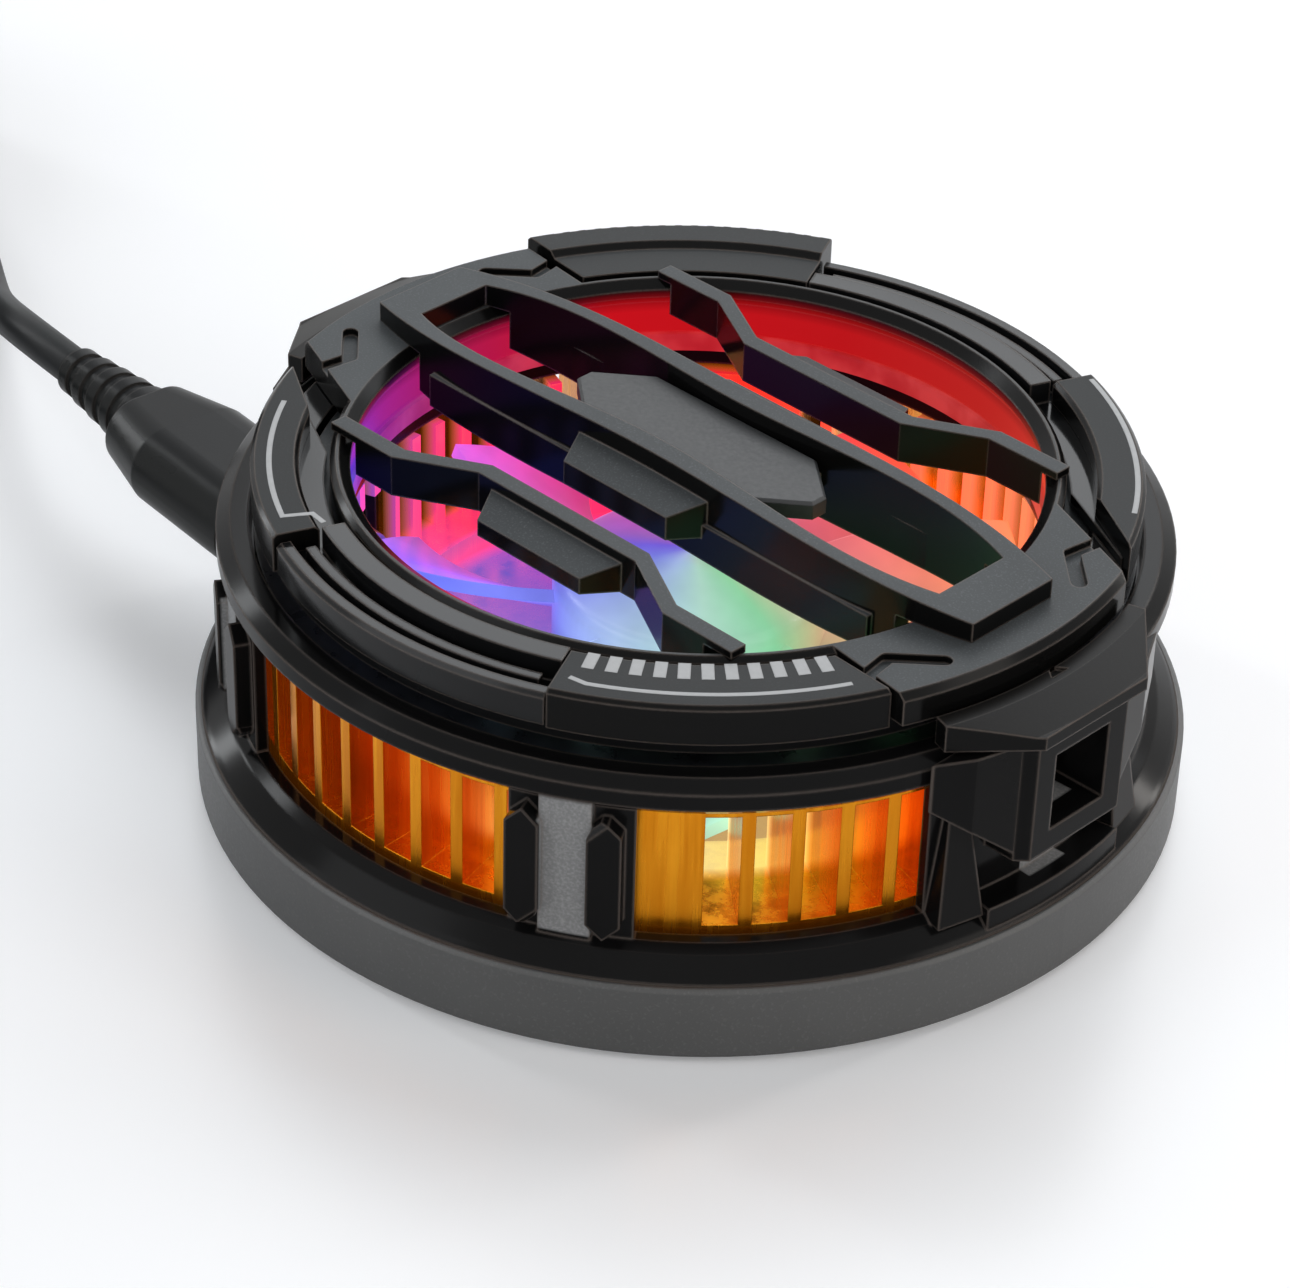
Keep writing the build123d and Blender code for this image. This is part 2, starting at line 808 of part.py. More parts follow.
def top_cover():
    """Inner cover: funnel ring, shoulder that centres the turning ring, and two arms."""
    profile = [
        (opening_radius + funnel_wall, hub_bottom),
        (hub_outer, hub_bottom),
        (hub_outer, shoulder_top),
        (ring_outer, shoulder_top),
        (ring_outer, cover_top - ring_bevel),
        (ring_outer - ring_bevel, cover_top),
        (opening_radius + funnel_wall + ring_bevel, cover_top),
        (opening_radius, cover_top - funnel_lip),
        (opening_radius, cover_top - funnel_lip * 2),
        (opening_radius + funnel_wall, cover_top - funnel_lip * 3),
    ]
    cover = turned(profile)
    for angle in screw_angles:
        cover += Pos(*polar(screw_radius, angle)) * disc(screw_boss, deck_top, shoulder_top)
    cover += arm()
    cover += opposite(arm())
    for angle, mirrored in ((-chevron_angle, 1), (chevron_angle, -1)):
        for leg in chevron(angle, mirrored):
            cover -= leg
            cover -= opposite(leg)
    for angle in screw_angles:
        cover -= Pos(*polar(screw_radius, angle)) * disc(screw_shank + fit_gap, deck_top - overrun,
                                                       deck_top + screw_depth)
    return cover


def cover_screws():
    screw = disc(screw_head, deck_bottom + fit_gap, deck_bottom + fit_gap + screw_head_height)
    screw += disc(screw_shank, deck_bottom + fit_gap, deck_top + screw_depth - fit_gap)
    return [Pos(*polar(screw_radius, angle)) * screw for angle in screw_angles]


def base_screws():
    screw = disc(screw_head, pad_thickness, pad_thickness + screw_head_height)
    screw += disc(screw_shank, pad_thickness, floor_top + screw_depth)
    return [place * screw for place in base_screw_places()]


def lug_plate():
    """Plate over a clip slot, dished towards its outer edge."""
    corner = polar(rim_radius, lug_plate_angle)
    edge = polar(lug_plate_inner, lug_plate_angle)
    reach = lug_reach
    points = [(edge.X, -edge.Y), (corner.X, -corner.Y), (reach, -lug_plate_flat), (reach, lug_plate_flat),
              (corner.X, corner.Y), (edge.X, edge.Y)]
    plate = prism(points, lug_top, lug_top + lug_plate_thickness)
    plate -= disc(lug_plate_inner, 0, cover_top)
    edge_top = lug_top + lug_plate_thickness / 2
    dish = turned([(rim_radius, lug_top + lug_plate_thickness), (lug_reach, edge_top),
                   (lug_reach + overrun, edge_top), (lug_reach + overrun, cover_top), (rim_radius, cover_top)])
    return plate - dish


def front_lug_plate():
    """The marked plate: a small arrow points at the fan."""
    tip = rim_radius - rim_bevel
    arrow = Polyline((tip - arm_bevel, 0), (tip + arm_bevel, arrow_half_width),
                     (tip + arm_bevel, -arrow_half_width), close=True)
    mark = extrude(make_face(arrow), amount=overrun)
    return lug_plate() - Pos(0, 0, lug_top + lug_plate_thickness - arm_bevel / 2) * mark


def frame_outline(inset=0):
    """Plan of the long frame: straight ends, sides that swell gently to the middle."""
    half = frame_half_length - inset
    corners = [(half, frame_end_half_width - inset), (frame_shoulder, frame_shoulder_half_width - inset)]
    top = Spline([corners[0], corners[1], (0, frame_half_width - inset), (-frame_shoulder, corners[1][1]),
                  (-half, corners[0][1])])
    bottom = Spline([(x, -y) for x, y in (corners[0], corners[1], (0, frame_half_width - inset),
                                          (-frame_shoulder, corners[1][1]), (-half, corners[0][1]))])
    ends = [Line((half, corners[0][1]), (half, -corners[0][1])),
            Line((-half, corners[0][1]), (-half, -corners[0][1]))]
    return make_face([top, bottom] + ends)


def side_profile(high, depth):
    """Side view of the frame: arched top, end blocks on the ring, wavy lower edge."""
    half = frame_half_length + overrun
    arch = ThreePointArc((-half, frame_end_top), (0, high), (half, frame_end_top))
    high_end = depth + side_bar_rise
    wave = Spline([(-frame_drop, high_end), (-frame_drop / 2, depth), (0, depth + side_bar_rise / 2),
                   (frame_drop / 2, depth), (frame_drop, high_end)])
    sides = []
    for side in (-1, 1):
        sides.append(Line((side * half, frame_end_top), (side * half, cover_top)))
        sides.append(Line((side * half, cover_top), (side * frame_drop, cover_top)))
        sides.append(Line((side * frame_drop, cover_top), (side * frame_drop, high_end)))
    face = Plane.XZ * make_face([arch, wave] + sides)
    return extrude(face, amount=lug_reach, both=True)


def trapezoid_boss(near, far, half_length, tip_half_length, high, deep, tip_deep):
    """Boss on the outer side of a bar, narrower and lower at its tip."""
    inner = Plane(origin=(0, near, high - deep / 2), x_dir=(1, 0, 0), z_dir=(0, 1, 0))
    outer = Plane(origin=(0, far, high - boss_tip_drop - tip_deep / 2), x_dir=(1, 0, 0), z_dir=(0, 1, 0))
    return tapered((inner, half_length * 2, deep), (outer, tip_half_length * 2, tip_deep))


def grille_frame():
    """Two long deep bars joined at both ends, each with a ledge and a boss on its outer side."""
    plan = frame_outline()
    hole = frame_outline(frame_bar)
    window = Rectangle(frame_end_inner * 2, frame_half_width * 2)
    body = extrude(plan, amount=frame_top + overrun) & side_profile(frame_top, frame_bottom)
    body -= extrude(hole & window, amount=frame_top + overrun)
    ledge = Plane.XY * Rectangle(ledge_reach * 2, (frame_half_width + ledge_width) * 2)
    ledge -= Rectangle(frame_drop * 2 + overrun, frame_inner_half_width * 2 + frame_bar)
    body += extrude(ledge, amount=ledge_top) & side_profile(ledge_top, frame_bottom)
    boss = trapezoid_boss(frame_half_width - frame_bar / 2, frame_half_width + boss_reach, boss_half_length,
                          boss_tip_half_length, boss_top, boss_height, boss_tip_height)
    body += boss
    body += opposite(boss)
    inside = frame_inner_half_width - badge_shelf
    shelf = box_between((-badge_shoulder, inside, cover_top - badge_thickness),
                        (badge_shoulder, inside + badge_shelf * 2, frame_top - badge_recess - badge_thickness))
    body += shelf
    return body + opposite(shelf)


def side_bar():
    """Thin crooked bar: it starts wide of the middle, steps in, runs straight and steps out again."""
    end_x = sqrt(side_bar_end ** 2 - side_bar_outer_y ** 2)
    path = [(-end_x, side_bar_outer_y), (-side_bar_kink_x, side_bar_outer_y),
            (-side_bar_jog_x, side_bar_inner_y), (side_bar_jog_x, side_bar_inner_y),
            (side_bar_kink_x, side_bar_outer_y), (end_x, side_bar_outer_y)]
    half = side_bar_width / 2
    outline = [(x, y + half) for x, y in path] + [(x, y - half) for x, y in reversed(path)]
    flange = prism(outline, cover_top, cover_top + side_bar_rise)
    web = prism(outline, cover_top - side_bar_depth, cover_top)
    web &= disc(opening_radius - free_gap, 0, cover_top)
    boss = trapezoid_boss(side_bar_inner_y, side_bar_inner_y + side_boss_reach, boss_half_length,
                          boss_tip_half_length, cover_top, side_bar_depth, side_bar_depth / 2)
    return flange + web + boss


def badge_plate():
    """Bare name plate, pointed at both ends, between the long bars."""
    width = frame_inner_half_width - fit_gap
    outline = Polyline((badge_half_length, badge_tip / 2), (badge_shoulder, width),
                       (-badge_shoulder, width), (-badge_half_length, badge_tip / 2),
                       (-badge_half_length, -badge_tip / 2),
                       (-badge_shoulder, -width), (badge_shoulder, -width),
                       (badge_half_length, -badge_tip / 2), close=True)
    top = frame_top - badge_recess
    plate = Pos(0, 0, top - badge_thickness) * extrude(make_face(outline), amount=badge_thickness)
    return chamfer(plate.faces().sort_by(Axis.Z)[-1].edges(), fit_gap * 4)


def ring_sector(profile, span, inner_span=None):
    """Part of a turned profile between two ends, which may be slanted."""
    radii = [point[0] for point in profile]
    inner_span = inner_span or span
    low = min(span[0], inner_span[0]) - overrun
    high = max(span[1], inner_span[1]) + overrun
    mask = sector(min(radii), max(radii), span, 0, frame_top, inner_span)
    return turned(profile, low, high - low) & mask


def mode_ring():
    """Ring that turns under the two arms, with the grooved stretches between its panels."""
    body = ring(ring_body_inner, ring_body_outer, ring_bottom, ring_body_top)
    base = sector(panel_inner, panel_radius, (side_span[0], grip_span[1]), ring_body_top - fit_gap,
                  ring_base_top, (side_start_base, grip_end_inner)) & disc(ring_body_outer, 0, cover_top)
    band = sector(panel_inner, panel_inner + inner_band_width, groove_span, ring_body_top, panel_top)
    rib_span = (groove_span[0] + overrun, groove_span[1] - overrun)
    rib = sector(rib_inner, rib_inner + rib_width, rib_span, ring_body_top, ring_base_top + rib_rise)
    lip = ring_sector([(lip_inner, ring_body_top), (ring_body_outer, panel_bottom),
                       (lip_outer, panel_bottom), (lip_outer, panel_top - lip_drop - panel_bevel),
                       (lip_outer - panel_bevel, panel_top - lip_drop),
                       (lip_inner, panel_top - lip_drop)], groove_span)
    for piece in (base, band, rib, lip):
        body += piece
        body += opposite(piece)
    return body


def panel_profile(inner, outer):
    """Section of a panel: a flat top plate with a skirt that hangs outside the ring."""
    return [
        (inner, ring_base_top),
        (ring_body_outer + fit_gap, ring_base_top),
        (ring_body_outer + fit_gap, panel_bottom),
        (outer, panel_bottom),
        (outer, panel_top - panel_bevel),
        (outer - panel_bevel, panel_top),
        (inner + panel_bevel, panel_top),
        (inner, panel_top - panel_bevel),
    ]


def scale_panel():
    span = (scale_span[0] + seam_angle, scale_span[1])
    return ring_sector(panel_profile(panel_inner, panel_radius), span,
                       (scale_span[0] + seam_angle, scale_end_inner))


def side_panel():
    span = (side_span[0], side_span[1] - seam_angle)
    return ring_sector(panel_profile(side_panel_inner, panel_radius), span,
                       (side_start_inner, side_span[1] - seam_angle))


def grip_panel():
    """Knurled panel that a finger turns the ring by."""
    span = (grip_span[0] + seam_angle, grip_span[1])
    profile = [
        (panel_inner, ring_base_top),
        (ring_body_outer + fit_gap, ring_base_top),
        (ring_body_outer + fit_gap, panel_bottom),
        (panel_radius, panel_bottom),
        (grip_radius, panel_bottom + ring_step),
        (grip_radius, panel_top + grip_rise - panel_bevel),
        (grip_radius - panel_bevel, panel_top + grip_rise),
        (lip_inner, panel_top + grip_rise),
        (lip_inner - grip_rise, panel_top),
        (panel_inner, panel_top),
    ]
    panel = ring_sector(profile, span, (grip_span[0] + seam_angle, grip_end_inner))
    grooves = []
    count = int((span[1] - span[0]) / knurl_pitch) - 1
    for i in range(count):
        cut = box_between((grip_radius - knurl_depth, -knurl_depth, 0),
                          (grip_radius + overrun, knurl_depth, frame_top + overrun))
        grooves.append(Rot(0, 0, span[0] + knurl_pitch * (i + 1)) * cut)
    return panel - grooves


def motor_bracket():
    plate = disc(bracket_radius, sink_top, sink_top + bracket_thickness)
    tube = disc(tube_outer, sink_top, sink_top + bracket_thickness + tube_height)
    well = disc(bearing_outer + fit_gap / 2, sink_top + bracket_thickness / 2, cover_top)
    return plate + tube - well


def sleeve_bearing():
    bottom = sink_top + bracket_thickness
    return ring(shaft_radius + fit_gap, bearing_outer, bottom, bottom + bearing_height)


def stator_core():
    bottom = sink_top + bracket_thickness + core_lift
    top = bottom + core_height
    core = ring(tube_outer + fit_gap / 2, core_hub, bottom, top)
    for i in range(pole_count):
        pole = box_between((core_hub - pole_shoe, -pole_neck / 2, bottom),
                           (core_tip - pole_shoe / 2, pole_neck / 2, top))
        pole += sector(core_tip - pole_shoe, core_tip, (-pole_arc / 2, pole_arc / 2), bottom, top)
        core += Rot(0, 0, quarter_turn * i) * (pole & disc(core_tip, 0, cover_top))
    return core


def stator_coils():
    bottom = sink_top + bracket_thickness + core_lift
    top = bottom + core_height
    inner = core_hub + fit_gap * 2
    outer = core_tip - pole_shoe - fit_gap
    length = sqrt(outer ** 2 - (coil_width / 2) ** 2) - fit_gap
    coil = box_between((inner, -coil_width / 2, bottom - coil_wall), (length, coil_width / 2, top + coil_wall))
    neck = box_between((0, -pole_neck / 2 - fit_gap, bottom - fit_gap),
                       (core_tip, pole_neck / 2 + fit_gap, top + fit_gap))
    coil -= neck
    return [Rot(0, 0, quarter_turn * i) * coil for i in range(pole_count)]


def rotor_magnet():
    return ring(yoke_inner - rotor_magnet_wall, yoke_inner - fit_gap / 2, rotor_bottom + fit_gap,
                rotor_bottom + rotor_magnet_height)


def rotor_yoke():
    outer = yoke_inner + yoke_wall
    cup = disc(outer, rotor_bottom, yoke_top) - disc(yoke_inner, 0, yoke_top - yoke_wall)
    return cup - disc(shaft_radius, 0, cover_top)


def fan_shaft():
    return disc(shaft_radius, sink_top + shaft_lift, yoke_top + yoke_wall)


def blade():
    """Twisted blade between the hub and a trimmed tip."""
    root = hub_radius - hub_wall / 2
    tip = blade_reach + overrun
    sections = []
    for radius, chord, pitch, sweep_angle in (
        (root, blade_root_chord, blade_root_pitch, 0),
        ((root + tip) / 2, (blade_root_chord + blade_tip_chord) / 2,
         (blade_root_pitch + blade_tip_pitch) / 2, blade_sweep / 3),
        (tip, blade_tip_chord, blade_tip_pitch, blade_sweep),
    ):
        across = polar(cos(radians(pitch)), sweep_angle + quarter_turn, sin(radians(pitch)))
        plane = Plane(origin=polar(radius, sweep_angle, blade_middle), x_dir=across,
                      z_dir=polar(1, sweep_angle))
        sections.append(plane * Rectangle(chord, blade_thickness))
    return loft(sections)


def impeller():
    """Domed hub with its blades."""
    ceiling = yoke_top + yoke_wall + fit_gap
    dome_edge = yoke_top + hub_wall
    dome_top = dome_edge + dome_rise
    ball = (hub_radius ** 2 + dome_rise ** 2) / (2 * dome_rise)
    halfway = dome_top - ball + sqrt(ball ** 2 - hub_radius ** 2 / 4)
    inside = hub_radius - hub_wall
    side = Polyline((0, dome_top), (0, ceiling), (inside, ceiling), (inside, rotor_bottom),
                    (hub_radius, rotor_bottom), (hub_radius, dome_edge))
    crown = ThreePointArc((hub_radius, dome_edge), (hub_radius / 2, halfway), (0, dome_top))
    hub = revolve(Plane.XZ * make_face([side, crown]), axis=Axis.Z)
    shoulder = hub.edges().filter_by(GeomType.CIRCLE).filter_by(Plane.XY).sort_by(Axis.Z)[-1]
    hub = fillet(shoulder, hub_wall)
    # The disc is turned so that its seam lies away from the blade.
    trimmed = blade() & opposite(disc(blade_reach, 0, cover_top))
    pitch = full_turn / blade_count
    return hub + [Rot(0, 0, pitch * (i + 1 / 2)) * trimmed for i in range(blade_count)]


def usb_plug_shell():
    start = plug_front - plug_shell_length
    plane = section_plane(start)
    outside = extrude(plane * oval(plug_shell_width, plug_shell_height), amount=plug_shell_length)
    bore = oval(plug_shell_width - 2 * plug_shell_wall, plug_shell_height - 2 * plug_shell_wall)
    hollow = extrude(plane * bore, amount=plug_shell_length - plug_shell_wall)
    return port_place() * (outside - hollow)


def usb_plug_body():
    """Soft-cornered grip that narrows to the boot."""
    middle = plug_front + plug_length * plug_grip_share
    grip = extrude(section_plane(plug_front) * oval(plug_width, plug_height), amount=middle - plug_front)
    waist = loft([section_plane(middle) * oval(plug_width, plug_height),
                  section_plane(plug_back) * oval(plug_waist_width, plug_waist_height)])
    return port_place() * (grip + waist)


def cord_boot():
    """Ribbed strain relief, tapered from the plug to the cord."""
    big = plug_waist_height / 2
    count = boot_rings * 2 + 1
    step = boot_length / count
    profile = [(0, 0)]
    for i in range(count):
        radius = big + (boot_end - big) * (i + 1 / 2) / count - boot_groove * (i % 2)
        profile += [(radius, step * i), (radius, step * (i + 1))]
    profile += [(0, boot_length)]
    solid = turned(profile)
    return port_place() * Pos(plug_back, 0, port_height_middle) * Rot(0, quarter_turn, 0) * solid


# The cord's own route from the boot to the coil, and where the coil ends, chosen by hand.
first_run = 7.0
cord_route = [
    tuple((port_place() * Pos(boot_back, 0, port_height_middle)).position),
    tuple((port_place() * Pos(boot_back + first_run, 0, port_height_middle)).position),
    (-72.6, -5.2, 7.6),
    (-80.4, -0.6, 3.7),
    (-88.6, 4.4, 1.8),
    (-97.0, 9.4, 1.6),
    (-105.4, 13.8, 1.7),
    (-113.2, 17.0, 2.4),
    (-120.2, 17.6, 2.4),
]


def fillet_radii(points):
    """Largest radii that the runs allow, one for each corner."""
    radii = []
    for before, here, after in zip(points, points[1:], points[2:]):
        first = Vector(here) - Vector(before)
        second = Vector(after) - Vector(here)
        turn = first.get_angle(second)
        radii.append(bend_share * min(first.length, second.length) / tan(radians(turn / 2)))
    return radii


def tube(points, name):
    """Round cord along straight runs joined by arcs."""
    radii = fillet_radii(points)
    path = FilletPolyline(*points, radius=radii)
    print(name, "radii", [round(radius, 1) for radius in radii], "length", round(path.length, 1))
    start = Plane(origin=points[0], z_dir=Vector(points[1]) - Vector(points[0]))
    solid = sweep(start * Circle(cord_diameter / 2), path=path)
    print(name, "volume", round(solid.volume, 1), "section x length",
          round(pi * cord_diameter ** 2 / 4 * path.length, 1))
    return solid, path.length


coil_start = Vector(cord_route[-1])
coil_heading = Vector(cord_route[-1]) - Vector(cord_route[-2])
coil_start_angle = degrees(atan2(coil_heading.Y, coil_heading.X)) - quarter_turn
coil_centre = coil_start - polar(coil_outer_radius, coil_start_angle)
coil_inner_radius = coil_outer_radius - turn_pitch * quarters_per_layer / 4


def coil_knots():
    """Centreline points and tangents, a quarter turn apart: four flat spirals with climbs between."""
    knots = []
    angle = coil_start_angle
    height = coil_start.Z
    radius = coil_outer_radius
    for layer in range(layer_count):
        change = -turn_pitch / 4 if layer % 2 == 0 else turn_pitch / 4
        slope = change / (pi / 2)
        count = quarters_per_layer - (layer == layer_count - 1)
        for quarter in range(count + 1):
            flat = quarter in (0, count)
            tangent = polar(radius, angle + quarter_turn) + polar(0 if flat else slope, angle)
            knots.append((coil_centre + polar(radius, angle, height - coil_centre.Z), tangent.normalized()))
            if quarter < count:
                angle += quarter_turn
                radius += change
        if layer < layer_count - 1:
            angle += quarter_turn
            rise = polar(radius, angle + quarter_turn) + Vector(0, 0, layer_pitch * climb_share)
            middle = height + layer_pitch / 2 - coil_centre.Z
            knots.append((coil_centre + polar(radius, angle, middle), rise.normalized()))
            angle += quarter_turn
            height += layer_pitch
    return knots


def biarc(start, start_tangent, end, end_tangent):
    """Two arcs that meet smoothly between two points with given tangents."""
    chord = end - start
    both = start_tangent + end_tangent
    a = 2 * (start_tangent.dot(end_tangent) - 1)
    b = -2 * chord.dot(both)
    c = chord.dot(chord)
    reach = (-b - sqrt(b * b - 4 * a * c)) / (2 * a)
    joint = (start + start_tangent * reach + end - end_tangent * reach) * (1 / 2)
    first = TangentArc(start, joint, tangent=start_tangent)
    second = TangentArc(end, joint, tangent=end_tangent * -1)
    return [first, second]


def cord_coil():
    """Put-away length: one unbroken tube in four layers of turns."""
    knots = coil_knots()
    edges = []
    for (start, start_tangent), (end, end_tangent) in zip(knots, knots[1:]):
        edges += biarc(start, start_tangent, end, end_tangent)
    path = Wire(edges)
    section = Plane(origin=knots[0][0], z_dir=knots[0][1]) * Circle(cord_diameter / 2)
    solid = sweep(section, path=path)
    print("coil length", round(path.length, 1), "volume", round(solid.volume, 1), "section x length",
          round(pi * cord_diameter ** 2 / 4 * path.length, 1))
    print("coil least gap", round(least_gap(path), 2))
    return solid, path.length, knots[-1]


def least_gap(path):
    """Smallest distance between turns, on points along the centreline, less the diameter."""
    count = int(path.length / cord_diameter * 2)
    points = [path.position_at(i / count) for i in range(count + 1)]
    apart = int(cord_diameter * 3 / (path.length / count)) + 1
    least = path.length
    for i, first in enumerate(points):
        for second in points[i + apart:]:
            if abs(first.Z - second.Z) < cord_diameter * 2 and abs(first.X - second.X) < cord_diameter * 2:
                least = min(least, (first - second).length)
    return least - cord_diameter


def coil_tie(top):
    """Flat strap round the bundle of turns."""
    low = coil_start.Z - cord_diameter / 2 - tie_gap
    high = top + cord_diameter / 2 + tie_gap
    inner = coil_inner_radius - cord_diameter / 2 - tie_gap
    outer = coil_outer_radius + cord_diameter / 2 + tie_gap
    strap = box_between((inner - tie_thickness, -tie_width / 2, low - tie_thickness),
                        (outer + tie_thickness, tie_width / 2, high + tie_thickness))
    strap -= box_between((inner, -tie_width, low), (outer, tie_width, high))
    return Pos(coil_centre.X, coil_centre.Y) * Rot(0, 0, tie_angle) * strap


def tail_route(start, tangent):
    """Last stretch of the cord: it leaves the coil in line and comes down to the far plug."""
    height = usb_a_height / 2
    heading = degrees(atan2(tangent.Y, tangent.X))
    points = [start]
    for length, turn, drop_share in zip(tail_runs, tail_turns, tail_drop_shares):
        heading += turn
        last = points[-1]
        level = start.Z + (height - start.Z) * drop_share
        points.append(last + polar(length, heading) + Vector(0, 0, level - last.Z))
    return [tuple(point) for point in points], heading


def usb_a_shell():
    place = Plane(origin=(usb_a_length - fit_gap, 0, 0), x_dir=(0, 1, 0), z_dir=(1, 0, 0))
    outer = RectangleRounded(usb_a_shell_width, usb_a_shell_height, usb_a_shell_wall)
    bore = Rectangle(usb_a_shell_width - 2 * usb_a_shell_wall, usb_a_shell_height - 2 * usb_a_shell_wall)
    length = usb_a_shell_length + fit_gap
    hollow = extrude(place.offset(usb_a_shell_wall) * bore, amount=length)
    return extrude(place * outer, amount=length) - hollow


def usb_a_tongue():
    wall = usb_a_shell_wall
    start = usb_a_length + wall
    half_width = usb_a_shell_width / 2 - wall * 2
    low = wall - usb_a_shell_height / 2
    return box_between((start, -half_width, low), (start + usb_a_shell_length - usb_a_neck, half_width,
                                                  low + usb_a_tongue_height))


def usb_a_body():
    """Moulded grip of the far plug, drawn in at the cord."""
    neck = usb_a_neck * 2
    planes = [Plane(origin=(distance, 0, 0), x_dir=(0, 1, 0), z_dir=(1, 0, 0)) for distance in (0, neck)]
    waist = loft([planes[0] * RectangleRounded(usb_a_width / 2, usb_a_height * usb_a_waist_share, usb_a_corner),
                  planes[1] * RectangleRounded(usb_a_width, usb_a_height, usb_a_corner)])
    grip = extrude(planes[1] * RectangleRounded(usb_a_width, usb_a_height, usb_a_corner),
                   amount=usb_a_length - neck)
    pocket = box_between((usb_a_length - fit_gap, -usb_a_shell_width / 2, -usb_a_shell_height / 2),
                         (usb_a_length + overrun, usb_a_shell_width / 2, usb_a_shell_height / 2))
    return waist + grip - pocket


def build():
    save("cold_plate", cold_plate())
    save("contact_pad", contact_pad())
    save("base_shell", base_shell())
    save("ring_magnets", Compound(ring_magnets()))
    save("magnet_shunt", magnet_shunt())
    save("peltier_cold_ceramic", block(ceramic_side, ceramic_side, pedestal_top, legs_bottom))
    save("peltier_legs", Compound(peltier_legs()))
    save("peltier_hot_ceramic", block(ceramic_side, ceramic_side, legs_top, sink_bottom))
    save("insulation_frame", insulation_frame())
    save("heat_sink", heat_sink())
    save("cage", cage())
    save("usb_socket_shell", socket_shell())
    save("usb_socket_tongue", socket_tongue())
    save("port_board", port_board())
    save("control_board", control_board())
    save("lamp_chips", Compound(lamp_chips()))
    save("board_chips", Compound(board_chips()))
    save("mode_switch", mode_switch())
    save("light_ring", ring(light_inner, light_outer, deck_top, deck_top + light_height))
    save("top_cover", top_cover())
    save("front_lug_plate", front_lug_plate())
    save("rear_lug_plate", opposite(lug_plate()))
    save("grille_frame", grille_frame())
    save("grille_side_bars", Compound([side_bar(), opposite(side_bar())]))
    save("badge_plate", badge_plate())
    save("cover_screws", Compound(cover_screws()))
    save("base_screws", Compound(base_screws()))
    save("motor_bracket", motor_bracket())
    save("sleeve_bearing", sleeve_bearing())
    save("stator_core", stator_core())
    save("stator_coils", Compound(stator_coils()))
    save("impeller", impeller())
    save("rotor_yoke", rotor_yoke())
    save("rotor_magnet", rotor_magnet())
    save("fan_shaft", fan_shaft())
    save("mode_ring", mode_ring())
    save("scale_panel", scale_panel())
    save("right_panel", side_panel())
    save("left_panel", opposite(side_panel()))
    save("grip_panel", grip_panel())
    save("switch_slider", switch_slider())
    build_cord()


def build_cord():
    save("usb_plug_shell", usb_plug_shell())
    save("usb_plug_body", usb_plug_body())
    save("cord_boot", cord_boot())
    run, run_length = tube(cord_route, "cord run")
    save("cord_run", run)
    coil, coil_length, (end, tangent) = cord_coil()
    save("cord_coil", coil)
    save("coil_tie", coil_tie(end.Z))
    route, heading = tail_route(end, tangent)
    tail, tail_length = tube(route, "cord tail")
    save("cord_tail", tail)
    place = Pos(*route[-1]) * Rot(0, 0, heading)
    save("usb_a_shell", place * usb_a_shell())
    save("usb_a_tongue", place * usb_a_tongue())
    save("usb_a_body", place * usb_a_body())
    print("whole cord", round(run_length + coil_length + tail_length, 1), "of", cord_length)


if __name__ == "__main__":
    build()
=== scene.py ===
"""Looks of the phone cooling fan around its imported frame.

Lengths are in millimetres. The cord's route and tail, and the lamps' places, are in metres.
"""

from math import atan2, cos, pi, radians, sin

import bmesh
import bpy
from mathutils import Matrix, Vector


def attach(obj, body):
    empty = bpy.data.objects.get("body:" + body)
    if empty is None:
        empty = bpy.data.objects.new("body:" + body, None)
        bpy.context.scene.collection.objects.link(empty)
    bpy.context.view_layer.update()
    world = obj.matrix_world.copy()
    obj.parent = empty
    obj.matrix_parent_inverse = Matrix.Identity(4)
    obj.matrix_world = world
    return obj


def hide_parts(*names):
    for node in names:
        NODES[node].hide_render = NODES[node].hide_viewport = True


MM = 0.001
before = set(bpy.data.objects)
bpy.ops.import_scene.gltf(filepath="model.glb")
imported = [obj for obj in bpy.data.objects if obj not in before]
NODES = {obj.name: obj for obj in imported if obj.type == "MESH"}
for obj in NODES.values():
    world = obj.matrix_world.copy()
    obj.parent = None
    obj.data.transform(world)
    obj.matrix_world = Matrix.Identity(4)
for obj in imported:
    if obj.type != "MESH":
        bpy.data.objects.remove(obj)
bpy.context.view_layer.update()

# Camera, solved from the photograph
PICTURE_WIDTH = 1290
FOCAL_PIXELS = 4035.472
SENSOR = 36.0
ELEVATION = 34.083
ROLL = -1.666
AZIMUTH = 44.2
DISTANCE = 290.31
SHIFT_RIGHT = -3.060
SHIFT_UP = 7.517

# Levels and radii of the part
PANEL_TOP = 25.0
PRINT_LIFT = 0.012
FUNNEL_RADIUS = 24.7
FUNNEL_LIT_FROM = 22.4
FUNNEL_LIT_TO = 24.4
FIN_OUTER = 26.4
FIN_LIT = 25.0
FIN_INNER = 22.5
FLOOR_OUTER = 20.5
HUB_RADIUS = 9.0
BLADE_TIP = 23.0
BLADE_LOW = 9.0
BLADE_HIGH = 13.0
PILLAR_OUTER = 33.2
PILLAR_FOOT = 7.7
PILLAR_HEAD = 18.5
PILLAR_SPACING = pi / 6
PILLAR_HALF_ANGLE = 0.056
TURNING_PITCH = 0.35

# Cord
CORD_DIAMETER = 3.1
TURN_PITCH = 4.2
LAYER_PITCH = 4.0
LAYERS = 4
QUARTERS = [11, 11, 11, 10]
COIL_RADIUS = 23.9
STEPS_PER_QUARTER = 3


